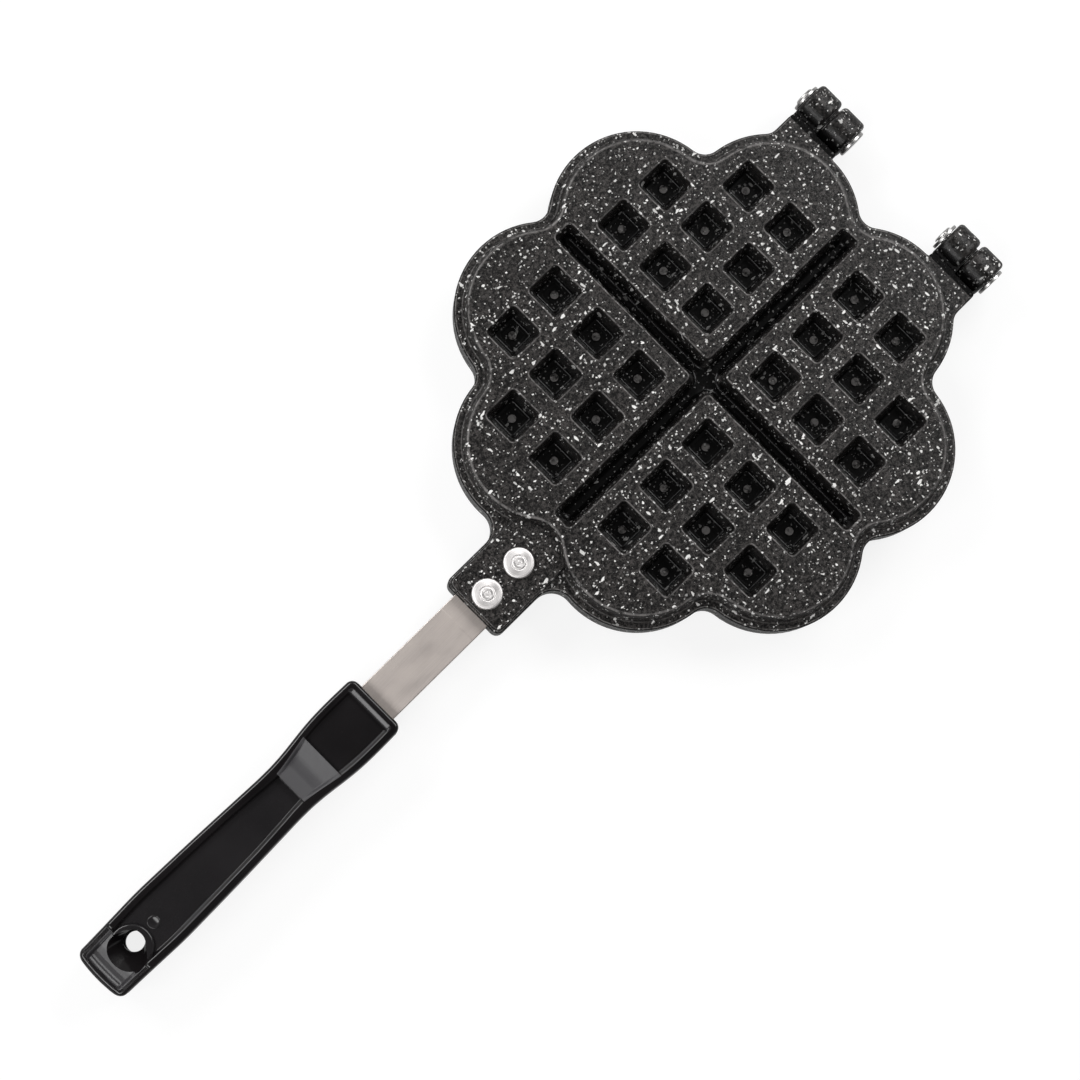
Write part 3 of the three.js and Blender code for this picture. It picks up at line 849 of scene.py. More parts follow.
@dataclass(frozen=True)
class Casting:
    """One lobed plate with its lug and hinge arms, drawn upright on its mating plane."""

    lobe_count: int = 8
    lobe_centre: float = 72.7
    lobe_radius: float = 37.8
    notch_radius: float = 8.0
    mating_face: float = 0.04
    height: float = 14.0
    flange_height: float = 7.5
    flange_round: float = 1.05
    flange_foot: float = 0.45
    foot_rise: float = 0.13
    foot_slack: float = 0.15
    band: float = 3.9
    plateau_inset: float = 5.0
    plateau_round: float = 1.6
    wall_fillet: float = 1.0
    land: float = 7.5
    land_round: float = 0.6
    land_rise: float = 0.01
    cavity_floor: float = 10.5
    cavity_draft: float = 1.4
    cavity_fillet: float = 1.2
    pit_first: float = 20.0
    pit_pitch: float = 24.6
    pit_rows: int = 3
    pit_reach: float = 90.0
    pit_half: float = 8.0
    pit_lip: float = 0.95
    pit_corner: float = 1.7
    pit_floor: float = 6.0
    pit_floor_half: float = 5.75
    pit_fillet: float = 0.9
    pocket_half: float = 4.0
    pocket_depth: float = 0.6
    pocket_edge: float = 0.05
    nub_radius: float = 2.0
    nub_height: float = 0.6
    nub_round: float = 0.35
    nub_crown: tuple[float, float] = (0.7, 0.12)
    peg_tip: float = 2.5
    peg_tip_half: float = 6.2
    peg_taper: float = 0.4
    peg_round: float = 0.8
    groove_half: float = 4.55
    groove_lip: float = 0.9
    groove_reach: float = 85.6
    groove_end_corner: float = 2.0
    groove_inner_corner: float = 2.5
    groove_wall_foot: float = 7.7
    groove_foot_half: float = 2.6
    groove_floor: float = 5.5
    groove_foot_steps: int = 6
    ridge_tip: float = 1.5
    ridge_tip_half: float = 4.3
    ridge_root_half: float = 6.2
    ridge_root_drop: float = 1.0
    ridge_flare: tuple[float, float] = (0.35, 1.4)
    ridge_corner: float = 2.6
    ridge_reach: float = 105.0
    lug_reach: float = 41.7
    lug_width: float = 29.4
    lug_rise: float = 2.7
    lug_corner: float = 3.4
    lug_round: float = 0.95
    web_ledge: float = 0.8
    web_overlap: float = 0.12
    web_fillet: float = 9.0
    channel_half: float = 9.55
    channel_top: float = 5.7
    channel_length: float = 37.3
    rivet_inset: float = 9.0
    rivet_spacing: float = 18.2
    rivet_hole: float = 2.9
    hinge_reach: float = 13.0
    hinge_offset: float = 41.5
    arm_clearance: float = 0.5
    arm_corner: float = 1.6
    arm_outer_fillet: float = 7.0
    arm_inner_fillet: float = 1.2
    knuckle_radius: float = 9.3
    knuckle_width: float = 12.0
    knuckle_gap: float = 1.3
    knuckle_round: float = 1.9
    knuckle_steps: int = 6
    neck_height: float = 5.0
    neck_root: float = 92.0
    boss_radius: float = 6.0
    boss_height: float = 0.6
    boss_edge: float = 0.15
    neck_inset: float = 0.3
    tongue_reach: float = 0.25
    tongue_inset: tuple[float, float, float] = (0.3, 0.1, 0.4)
    valley: float = 12.95
    valley_end: float = 8.95
    valley_floor: float = 4.6
    bore: float = 3.35
    overrun: float = 1.0
    # fades and levels of the painted shade and the painted highlights on the outside
    recess_fade: float = 1.8
    valley_fade: float = 2.0
    skirt_foot: float = 0.6
    lip_highlight: float = 0.35
    edge_highlight: float = 0.8
    rim_highlight: float = 0.6
    side_shade: float = 0.85
    nub_highlight: float = 0.5
    highlight_drop: tuple[float, float] = (0.03, 0.12)
    mark_slack: float = 0.5
    lobe_steps: int = 26
    notch_steps: int = 7
    round_steps: int = 5
    turn_steps: int = 48
    hole_steps: int = 32

    @property
    def half_lobe(self) -> float:
        """Half of the angle between two lobes."""
        return math.pi / self.lobe_count

    @property
    def notch_centre(self) -> float:
        """Distance of a notch's centre from the middle."""
        reach = self.lobe_radius + self.notch_radius
        across = self.lobe_centre * math.sin(self.half_lobe)
        return self.lobe_centre * math.cos(self.half_lobe) + math.sqrt(reach**2 - across**2)

    @property
    def hinge_x(self) -> float:
        """Place of the hinge axis along X."""
        return self.lobe_centre * math.cos(self.half_lobe) + self.lobe_radius + self.hinge_reach

    @property
    def lug_end(self) -> float:
        """Place of the lug's end along X."""
        return -(self.notch_centre - self.notch_radius + self.lug_reach)

    @property
    def lobe_reach(self) -> float:
        """Half of the angle that a lobe's arc takes up about its own centre."""
        across = self.notch_centre * math.sin(self.half_lobe)
        return math.atan2(across, self.notch_centre * math.cos(self.half_lobe) - self.lobe_centre)

    def lobe(self, number: int) -> tuple[tuple[float, float], float]:
        """Centre of a lobe and the angle that it points at."""
        middle = (number + 0.5) * 2 * self.half_lobe
        return (self.lobe_centre * math.cos(middle), self.lobe_centre * math.sin(middle)), middle

    def notch(self, number: int, inset: float, ends: bool) -> Outline:
        """Fillet between a lobe and the next one."""
        _, middle = self.lobe(number)
        angle = middle + self.half_lobe
        centre = (self.notch_centre * math.cos(angle), self.notch_centre * math.sin(angle))
        start = middle + self.lobe_reach + math.pi
        end = angle + self.half_lobe - self.lobe_reach + math.pi
        points = arc(centre, self.notch_radius + inset, start, end, self.notch_steps)
        return points if ends else points[1:-1]

    def rosette(self, inset: float) -> Outline:
        """Lobed outline moved inwards by an inset."""
        points: Outline = []
        for number in range(self.lobe_count):
            centre, middle = self.lobe(number)
            reach = self.lobe_reach
            points += arc(centre, self.lobe_radius - inset, middle - reach, middle + reach, self.lobe_steps)
            points += self.notch(number, inset, ends=False)
        return points

    def flange_outline(self) -> Outline:
        """Outline at flange level: the lobes with the lug's web and the two hinge arms drawn out of them."""
        points: Outline = []
        for number in range(self.lobe_count):
            centre, middle = self.lobe(number)
            start, end = middle - self.lobe_reach, middle + self.lobe_reach
            if number in (0, self.lobe_count - 1):
                points += self.arm_lobe(centre, start, end, 1 if number == 0 else -1)
            elif number == self.lobe_count // 2 - 1:
                points += self.web_side(centre, start)
            elif number == self.lobe_count // 2:
                lower = self.web_side((centre[0], -centre[1]), 4 * QUARTER - end)
                points += [(x, -y) for x, y in reversed(lower)]
            else:
                points += arc(centre, self.lobe_radius, start, end, self.lobe_steps)
            if number != self.lobe_count // 2 - 1:
                points += self.notch(number, 0.0, ends=False)
        return points

    def web_side(self, centre: tuple[float, float], start: float) -> Outline:
        """Lobe beside the lug on the +Y side, running into the web and round the lug's corner."""
        half = self.lug_width / 2 + self.web_ledge
        middle_y = half + self.web_fillet
        away = self.lobe_radius + self.web_fillet
        middle_x = centre[0] - math.sqrt(away**2 - (middle_y - centre[1]) ** 2)
        touch = math.atan2(centre[1] - middle_y, centre[0] - middle_x)
        corner = (self.lug_end + self.lug_corner, half - self.lug_corner)
        return [
            *arc(centre, self.lobe_radius, start, touch + math.pi, self.lobe_steps),
            *arc((middle_x, middle_y), self.web_fillet, touch, -QUARTER, 2 * self.notch_steps)[1:],
            *arc(corner, self.lug_corner, QUARTER, 2 * QUARTER, self.round_steps),
        ]

    def arm_lobe(self, centre: tuple[float, float], start: float, end: float, way: int) -> Outline:
        """Lobe that carries a hinge arm.

        Args:
            centre: the lobe's centre.
            start: first angle of its arc.
            end: last angle of its arc.
            way: 1 for the lobe on the +Y side and -1 for the other.

        Returns:
            The lobe's outline with the arm in it.
        """
        span = self.knuckle_width + self.knuckle_gap / 2
        tip = self.hinge_x - self.knuckle_radius - self.arm_clearance
        cy = centre[1] * way
        inner_y, outer_y = self.hinge_offset - span, self.hinge_offset + span
        shape: list[Outline] = []
        for line, side, fillet in (
            (inner_y, -1, self.arm_inner_fillet), (outer_y, 1, self.arm_outer_fillet),
        ):
            middle_y = line + side * fillet
            middle_x = centre[0] + math.sqrt((self.lobe_radius + fillet) ** 2 - (middle_y - cy) ** 2)
            touch = math.atan2(middle_y - cy, middle_x - centre[0])
            shape.append([(touch, 0.0), *arc((middle_x, middle_y), fillet, touch + math.pi,
                                             QUARTER if side < 0 else 3 * QUARTER, self.round_steps)])
        (low_touch, _), *low_fillet = shape[0]
        (high_touch, _), *high_fillet = shape[1]
        corner, steps = self.arm_corner, self.round_steps
        if way < 0:
            start, end = 4 * QUARTER - end, 4 * QUARTER - start
        outline = [
            *arc((centre[0], cy), self.lobe_radius, start, low_touch, self.lobe_steps)[:-1],
            *low_fillet,
            *arc((tip - corner, inner_y + corner), corner, -QUARTER, 0.0, steps),
            *arc((tip - corner, outer_y - corner), corner, 0.0, QUARTER, steps),
            *reversed(high_fillet),
            *arc((centre[0], cy), self.lobe_radius, high_touch, end, self.lobe_steps)[1:],
        ]
        return outline if way > 0 else [(x, -y) for x, y in reversed(outline)]

    def cross(self, half: float, reach: float, end_corner: float, inner_corner: float) -> Outline:
        """Outline of two crossed bars with rounded ends and rounded inner corners.

        Args:
            half: half-width of the bars.
            reach: distance of a bar's end from the middle.
            end_corner: radius at the bars' ends.
            inner_corner: radius of the corners between the bars.

        Returns:
            The points, anticlockwise.
        """
        points: Outline = []
        steps = self.round_steps
        arm = [
            *arc((reach - end_corner, end_corner - half), end_corner, -QUARTER, 0.0, steps),
            *arc((reach - end_corner, half - end_corner), end_corner, 0.0, QUARTER, steps),
            *arc((half + inner_corner, half + inner_corner), inner_corner, 3 * QUARTER, 2 * QUARTER, steps),
        ]
        for turn in range(4):
            c, s = round(math.cos(turn * QUARTER)), round(math.sin(turn * QUARTER))
            points += [(c * x - s * y, s * x + c * y) for x, y in arm]
        return points

    def groove_levels(self) -> list[tuple[Outline, float]]:
        """Outlines of the crossed grooves from the plateau down to their rounded floor."""
        levels = []
        lip = convex_round(0.0, self.height, self.groove_lip, self.round_steps)
        walls = [(self.groove_foot_half - self.groove_half, self.groove_wall_foot)]
        for step in range(1, self.groove_foot_steps):
            turn = QUARTER * step / self.groove_foot_steps
            drop = (self.groove_wall_foot - self.groove_floor) * math.sin(turn)
            walls.append((self.groove_foot_half * math.cos(turn) - self.groove_half, self.groove_wall_foot - drop))
        for offset, height in [*lip, *walls]:
            half = self.groove_half + offset
            end = min(self.groove_end_corner + max(offset, 0.0), half * 0.9)
            inner = self.groove_inner_corner - offset
            levels.append((self.cross(half, self.groove_reach + offset * 1.15, end, inner), height))
        return levels

    def pit_outline(self, half: float, corner: float) -> Outline:
        """Rounded square about the middle, with points along its sides."""
        return rounded_box((0.0, 0.0), (half, half), corner, self.round_steps, along=3)

    def pit_cup(self) -> Shell:
        """Surface of one pit about the middle, open at its lip."""
        cup = Shell()
        levels: list[tuple[Outline, float]] = []
        for offset, height in convex_round(0.0, self.height, self.pit_lip, self.round_steps):
            levels.append((self.pit_outline(self.pit_half + offset, self.pit_corner + offset), height))
        for offset, height in concave_round(self.pit_floor_half, self.pit_floor, self.pit_fillet, 4):
            levels.append((self.pit_outline(offset, self.pit_corner * offset / self.pit_half), height))
        edge = self.pocket_edge
        for offset, height in convex_round(-edge, self.pit_floor, edge, 2):
            half = self.pocket_half + offset + edge
            levels.append((self.pit_outline(half, self.pit_corner), height))
        bottom = self.pit_floor - self.pocket_depth
        levels.append((self.pit_outline(self.pocket_half - 2 * edge, self.pit_corner * 0.9), bottom + edge))
        levels.append((self.pit_outline(self.pocket_half - 3 * edge, self.pit_corner * 0.8), bottom))
        count = len(levels[0][0])
        start = math.atan2(levels[0][0][0][1], levels[0][0][0][0])
        top = bottom + self.nub_height
        crown, drop = self.nub_crown
        profile = [
            (self.nub_radius + 0.12, bottom), (self.nub_radius, bottom + 0.1),
            *convex_round(-self.nub_radius, top, self.nub_round, 3)[::-1], (crown, top - drop),
        ]
        for radius, height in profile:
            round_edge = arc((0.0, 0.0), abs(radius), start, start + 4 * QUARTER, count)[:-1]
            levels.append((round_edge, height))
        _, last = cup.stack(levels)
        cup.fill(last)
        return cup

    def peg(self) -> Shell:
        """One peg of the cooking side about the middle, from above the cavity's floor down to its tip."""
        flare, steps = self.peg_round, self.round_steps
        root = self.peg_tip_half + self.peg_taper * (self.cavity_floor - self.peg_tip)
        levels = [(self.pit_outline(root + flare, self.pit_corner + 2 * flare), self.cavity_floor + self.overrun)]
        for offset, height in convex_round(0.0, self.cavity_floor, flare, steps):
            half = root + offset - self.peg_taper * (self.cavity_floor - height)
            levels.append((self.pit_outline(half, self.pit_corner + flare + offset), height))
        for offset, height in concave_round(self.peg_tip_half + self.peg_taper * flare, self.peg_tip, flare, steps):
            levels.append((self.pit_outline(offset, self.pit_corner), height))
        return Shell().close(levels)

    def field(self, piece: bpy.types.Mesh, pattern: Pattern) -> bpy.types.Mesh:
        """Repeats a pit or peg over the four hearts."""
        return pattern.mesh(
            piece, First=self.pit_first * MM, Pitch=self.pit_pitch * MM, Reach=self.pit_reach * MM,
            Rows=self.pit_rows,
        )

    def pit_places(self) -> list[tuple[float, float]]:
        """Centres of the pits, by the rule of the heart pattern."""
        spots = [self.pit_first + self.pit_pitch * row for row in range(self.pit_rows)]
        quarter = [(x, y) for x in spots for y in spots if math.hypot(x, y) < self.pit_reach]
        return [(sx * x, sy * y) for x, y in quarter for sx in (1, -1) for sy in (1, -1)]

    def holes(self, shell: Shell, outline: Outline, height: float) -> list[list[int]]:
        """Rings for the pits' or pegs' mouths in a flat face."""
        return [shell.level([(x + dx, y + dy) for dx, dy in outline], height) for x, y in self.pit_places()]

    def outside(self, pattern: Pattern) -> bpy.types.Mesh:
        """Closed body of the casting with its plateau, pits, grooves, wall and flange, and a flat underside."""
        shell = Shell()
        crown = convex_round(self.plateau_inset, self.height, self.plateau_round, self.round_steps)
        foot = concave_round(self.band + self.foot_slack, self.flange_height, self.wall_fillet, self.round_steps)
        rim, base = shell.stack([(self.rosette(inset), height) for inset, height in [*crown, *foot]])
        _, groove = groove_rings = shell.stack(self.groove_levels())
        shell.fill(groove)
        lip = self.pit_outline(self.pit_half + self.pit_lip, self.pit_corner + self.pit_lip)
        shell.fill(rim, [groove_rings[0], *self.holes(shell, lip, self.height)])
        outline = self.flange_outline()
        edge = convex_round(0.0, self.flange_height, self.flange_round, self.round_steps)
        face = self.mating_face
        foot_width = self.flange_foot
        sole = [(0.0, face + foot_width), (foot_width * 0.3, face + self.foot_rise), (foot_width, face)]
        top, bottom = shell.stack([(drawn_in(outline, inset), height) for inset, height in [*edge, *sole]])
        shell.fill(top, [base])
        shell.fill(bottom)
        pits = self.field(self.pit_cup().mesh("cup", closed=False), pattern)
        made = joined([shell.mesh("outside", closed=False), pits], "outside")
        tidy(made)
        return made

    def cavity(self, pattern: Pattern) -> bpy.types.Mesh:
        """Solid that stands for the hollow of the cooking side, with its pegs and ridges left out."""
        shell = Shell()
        start, foot = self.land - self.land_round, self.mating_face + self.land_rise
        lip = [(start, self.mating_face - self.overrun), (start, foot)]
        for step in range(1, self.round_steps + 1):
            turn = QUARTER * step / self.round_steps
            rise = self.land_round * (1 - math.cos(turn))
            lip.append((start + self.land_round * math.sin(turn), foot + rise))
        root = self.land + self.cavity_draft
        for step in range(self.round_steps + 1):
            turn = QUARTER * step / self.round_steps
            lip.append((root + self.cavity_fillet * (1 - math.cos(turn)),
                        self.cavity_floor - self.cavity_fillet * (1 - math.sin(turn))))
        shell.close([(self.rosette(inset), height) for inset, height in lip])
        hollow = combine(shell.mesh("cavity"), self.field(self.peg().mesh("peg"), pattern), Cut.TAKE_AWAY)
        return combine(hollow, self.ridges().mesh("ridges"), Cut.TAKE_AWAY)

    def ridges(self) -> Shell:
        """Crossed ridges of the cooking side, from above the cavity's floor down to their rounded tip."""
        root, floor = self.ridge_root_half, self.cavity_floor
        near, far = self.ridge_flare
        profile = [
            (root + far, floor + self.overrun), (root + near, floor), (root, floor - self.ridge_root_drop),
            *concave_round(self.ridge_tip_half, self.ridge_tip, self.peg_round, self.round_steps),
        ]
        return Shell().close([
            (self.cross(half, self.ridge_reach, 1.0, self.ridge_corner + root - half), height)
            for half, height in profile
        ])

    def lug(self) -> bpy.types.Mesh:
        """Raised pad of the lug."""
        root = -(self.notch_centre - self.notch_radius - self.plateau_inset - self.band)
        end = self.lug_end + self.web_ledge
        middle, half = (root + end) / 2, (root - end) / 2
        edge = convex_round(0.0, self.flange_height + self.lug_rise, self.lug_round, self.round_steps)
        levels = [*edge, (-self.web_overlap, self.flange_height), (-self.web_overlap, self.flange_height / 2)]
        return Shell().close([
            (rounded_box((middle, 0.0), (half - inset, self.lug_width / 2 - inset), self.lug_corner - inset, 6), h)
            for inset, h in levels
        ]).mesh("lug")

    def knuckle(self) -> bpy.types.Mesh:
        """Barrel of one hinge, on the +Y side of the hinge's middle, with its neck."""
        width, corner, steps = self.knuckle_width, self.knuckle_round, self.knuckle_steps
        turns = [QUARTER * step / steps for step in range(steps + 1)]
        near = [(self.knuckle_radius - corner + corner * math.sin(a), corner - corner * math.cos(a)) for a in turns]
        far = [(radius, width - height) for radius, height in reversed(near)]
        boss, end, edge = self.boss_radius, -self.boss_height, self.boss_edge
        foot = [(0.0, end), (boss - edge, end), (boss, end + edge), (boss, 0.0)]
        barrel = Shell().turned([*foot, *near, *far, (0.0, width)], self.turn_steps).mesh("barrel")
        barrel.transform(Matrix.Rotation(-QUARTER, 4, "X"))
        start = self.knuckle_gap / 2
        barrel = moved(barrel, self.hinge_x, start)
        neck = Shell().block(
            (self.neck_root, start - self.boss_height, self.mating_face),
            (self.hinge_x, start + width - self.neck_inset, self.neck_height),
        ).mesh("neck")
        back, rise, drop = self.tongue_inset
        tongue = Shell().block(
            (self.neck_root, -self.tongue_reach, self.mating_face + rise),
            (self.hinge_x - self.boss_radius - back, self.knuckle_gap, self.neck_height - drop),
        ).mesh("tongue")
        return combine(combine(barrel, neck, Cut.JOIN), tongue, Cut.JOIN)

    def hole(self, radius: float, low: float, high: float) -> bpy.types.Mesh:
        """Upright round hole about the middle."""
        return Shell().turned([(0.0, low), (radius, low), (radius, high), (0.0, high)], self.hole_steps).mesh("hole")

    def mesh(self, pattern: Pattern) -> bpy.types.Mesh:
        """The whole casting, closed, upright on its mating plane."""
        body = combine(self.outside(pattern), self.lug(), Cut.JOIN)
        bore_reach = self.knuckle_width + 2 * self.overrun
        for y in (self.hinge_offset, -self.hinge_offset):
            body = combine(body, moved(self.knuckle(), y=y), Cut.JOIN)
            bore = self.hole(self.bore, -bore_reach, bore_reach)
            bore.transform(Matrix.Rotation(QUARTER, 4, "X"))
            body = combine(body, moved(bore, self.hinge_x, y + self.knuckle_gap / 2 + self.knuckle_width / 2),
                           Cut.TAKE_AWAY)
        body = combine(body, self.cavity(pattern), Cut.TAKE_AWAY)
        span = self.knuckle_width + self.knuckle_gap
        for y in (self.hinge_offset, -self.hinge_offset):
            valley = Shell().block(
                (self.hinge_x - self.valley, y - span, self.valley_floor),
                (self.hinge_x - self.valley_end, y + span, self.height),
            ).mesh("valley")
            body = combine(body, valley, Cut.TAKE_AWAY)
        channel = Shell().block(
            (self.lug_end - self.overrun, -self.channel_half, self.mating_face - self.overrun),
            (self.lug_end + self.channel_length, self.channel_half, self.channel_top),
        ).mesh("channel")
        body = combine(body, channel, Cut.TAKE_AWAY)
        for place in range(2):
            x = self.lug_end + self.rivet_inset + place * self.rivet_spacing
            body = combine(body, moved(self.hole(self.rivet_hole, 0.0, self.height), x), Cut.TAKE_AWAY)
        # painted shade and painted highlights, written on the mesh for the coating to read
        mark(body, RECESS_SHADE, self.recess_shade)
        mark(body, PAINTED_HIGHLIGHT, self.highlight_and_wear)
        return body

    def recess_shade(self, x: float, y: float, height: float) -> float:
        """Painted shade on the outside: how deep a point lies in a pit, a groove or a hinge's valley, from 0 at its
        lip to 1, running on over the inner half of the barrel, and a set level of painted shade on the flange's and
        lug's sides.
        """
        past = x - self.hinge_x + self.valley
        if past > 0.05 or past > -0.05 and height < self.neck_height:
            return min(1.0, max(0.0, (self.hinge_x + self.valley_fade - x) / self.knuckle_radius))
        flange, lug = self.flange_height, self.flange_height + self.lug_rise
        at_side = any(low < height < top - 0.15 for low, top in ((self.skirt_foot, flange), (flange + 0.1, lug)))
        if at_side and self.rim_inset(x, y) < self.flange_round:
            return self.side_shade
        if not self.groove_floor - self.mark_slack < height < self.height - 0.05:
            return 0.0
        x, y, slack = abs(x), abs(y), self.mark_slack
        rise = max(0.0, height - self.pit_floor) / (self.height - self.pit_lip - self.pit_floor)
        half = self.pit_floor_half + (self.pit_half - self.pit_floor_half) * rise
        rows = [self.pit_first + self.pit_pitch * row for row in range(self.pit_rows)]
        near_x, near_y = (min(rows, key=lambda row: abs(at - row)) for at in (x, y))
        in_pit = max(abs(x - near_x), abs(y - near_y)) < half + slack and math.hypot(near_x, near_y) < self.pit_reach
        rise = max(0.0, height - self.groove_wall_foot) / (self.height - self.groove_lip - self.groove_wall_foot)
        half = self.groove_foot_half + (self.groove_half - self.groove_foot_half) * rise
        in_groove = min(x, y) < half + slack and max(x, y) < self.groove_reach + slack
        if not in_pit and not in_groove:
            return 0.0
        return min(1.0, (self.height - height) / self.recess_fade)

    def rim_inset(self, x: float, y: float) -> float:
        """How far inside the lobes' edge a point lies; below 0 outside them, and a lobe's radius near the middle."""
        if math.hypot(x, y) < self.lobe_centre:
            return self.lobe_radius
        return self.lobe_radius - min(math.dist((x, y), self.lobe(number)[0]) for number in range(self.lobe_count))

    def highlight_and_wear(self, x: float, y: float, height: float) -> float:
        """How strongly a painted highlight lies at a point: on the rounds of the rims, and less on the recesses' lips.
        """
        inset, below = self.rim_inset(x, y), self.height - height
        if 0.2 < below < 0.5 and inset < self.plateau_inset + self.plateau_round:
            return 1.0
        if 0.02 < height - self.flange_height < self.wall_fillet * 0.4 and 2.0 < inset < self.plateau_inset:
            return self.lip_highlight
        middles = [self.pit_first + self.pit_pitch * row for row in range(self.pit_rows)]
        from_x, from_y = (min(abs(abs(at) - middle) for middle in middles) for at in (x, y))
        if 0.03 < below < self.pit_lip / 3:
            groove = min(abs(x), abs(y)) < self.groove_half + self.groove_lip + 0.1
            along_x = abs(x) < abs(y) if groove else from_x > from_y
            return self.edge_highlight if along_x else self.lip_highlight
        if math.hypot(from_x, from_y) < self.nub_radius - 0.2 and abs(height - self.pit_floor) < self.pocket_depth:
            return self.nub_highlight
        near, far = self.highlight_drop
        if near < self.flange_height - height < far and inset < 2.0 and x < self.hinge_x - self.knuckle_radius:
            return 1.0
        at_lug = near < self.flange_height + self.lug_rise - height < far
        return self.rim_highlight if at_lug and x < self.plateau_inset - self.notch_centre else 0.0


# The steel parts of the handle


@dataclass(frozen=True)
class HandleStrip:
    """Steel strip from the lug into the grip."""

    width: float = 18.5
    thickness: float = 3.0
    height: float = 2.4
    seat: float = 37.0
    exposed: float = 53.8
    tang: float = 45.0
    corner: float = 2.5
    edge: float = 0.35
    crease: float = -145.3
    crease_width: float = 0.7
    crease_slack: float = 0.02
    crease_depth: float = 0.02
    hole: float = 2.9

    def mesh(self, casting: Casting) -> bpy.types.Mesh:
        """The strip, with eased edges, a faint crosswise crease and its rivet holes."""
        start, end = casting.lug_end + self.seat, casting.lug_end - self.exposed - self.tang
        middle, half = (start + end) / 2, (start - end) / 2
        top = self.height + self.thickness
        outer = convex_round(0.0, top, self.edge, 3)
        under = [(inset, 2 * self.height + self.thickness - height) for inset, height in reversed(outer)]
        bar = Shell().close([
            (rounded_box((middle, 0.0), (half - inset, self.width / 2 - inset), self.corner - inset, 4), height)
            for inset, height in [*outer, *under]
        ]).mesh("strip")
        groove = Shell()
        near, far, lip = self.crease - self.crease_width, self.crease + self.crease_width, top + self.crease_slack
        section = [(near, top + 1), (near, lip), (self.crease, top - self.crease_depth), (far, lip), (far, top + 1)]
        rings = [groove.ring([(x, y, height) for x, height in section]) for y in (-self.width, self.width)]
        groove.bridge(*rings)
        for ring in rings:
            groove.fill(ring, plane=(0, 2))
        bar = combine(bar, groove.mesh("crease"), Cut.TAKE_AWAY)
        for place in range(2):
            x = casting.lug_end + casting.rivet_inset + place * casting.rivet_spacing
            bar = combine(bar, moved(casting.hole(self.hole, 0.0, casting.height), x), Cut.TAKE_AWAY)
        return bar


@dataclass(frozen=True)
class StripRivet:
    """Turned rivet with a ringed head outside and a set tail under the strip."""

    head: float = 6.55
    head_foot: float = 10.5
    head_height: float = 2.1
    shank: float = 2.6
    tail: float = 4.2
    tail_top: float = 2.1
    tail_height: float = 1.2
    tail_edge: float = 0.4
    rim: tuple[tuple[float, float], ...] = ((0.12, 0.0), (0.0, 0.15), (0.0, 0.95), (0.08, 1.1), (0.3, 1.28))
    face: tuple[tuple[float, float], ...] = (
        (5.9, 0.66), (5.2, 0.50), (4.1, 0.29), (3.35, 0.19), (3.15, 0.30), (2.9, 0.31), (2.6, 0.10), (2.2, 0.04),
        (1.5, 0.0), (1.3, 0.03), (1.1, 0.12), (0.9, 0.12), (0.7, 0.03), (0.0, 0.02),
    )
    steps: int = 64

    def profile(self) -> Profile:
        """Radius and height from the tail, over the head's rim, to the middle of its ringed face."""
        foot, top, end = self.head_foot, self.head_foot + self.head_height, self.tail_top - self.tail_height
        return [
            (0.0, end), (self.tail - self.tail_edge, end), (self.tail, end + self.tail_edge),
            (self.tail, self.tail_top), (self.shank, self.tail_top), (self.shank, foot),
            *[(self.head - inset, foot + rise) for inset, rise in self.rim],
            *[(radius, top - drop) for radius, drop in self.face],
        ]

    def mesh(self) -> bpy.types.Mesh:
        """The rivet about the middle, with a map of its angle and radius for the spun sheen."""
        made = Shell().turned(self.profile(), self.steps).mesh("rivet")
        spin_map(made)
        return made


def spin_map(mesh: bpy.types.Mesh) -> None:
    """Writes the map that a spun finish reads: angle round the upright axis, and distance from it in cm."""
    layer = mesh.uv_layers.new(name=SPUN_MAP)
    for face in mesh.polygons:
        middle = math.atan2(face.center.y, face.center.x)
        for corner in face.loop_indices:
            place = mesh.vertices[mesh.loops[corner].vertex_index].co
            radius = math.hypot(place.x, place.y)
            angle = math.atan2(place.y, place.x) if radius > FLAT else middle
            if angle - middle > math.pi:
                angle -= 2 * math.pi
            elif middle - angle > math.pi:
                angle += 2 * math.pi
            layer.data[corner].uv = (angle / (2 * math.pi), radius / MM / 10)


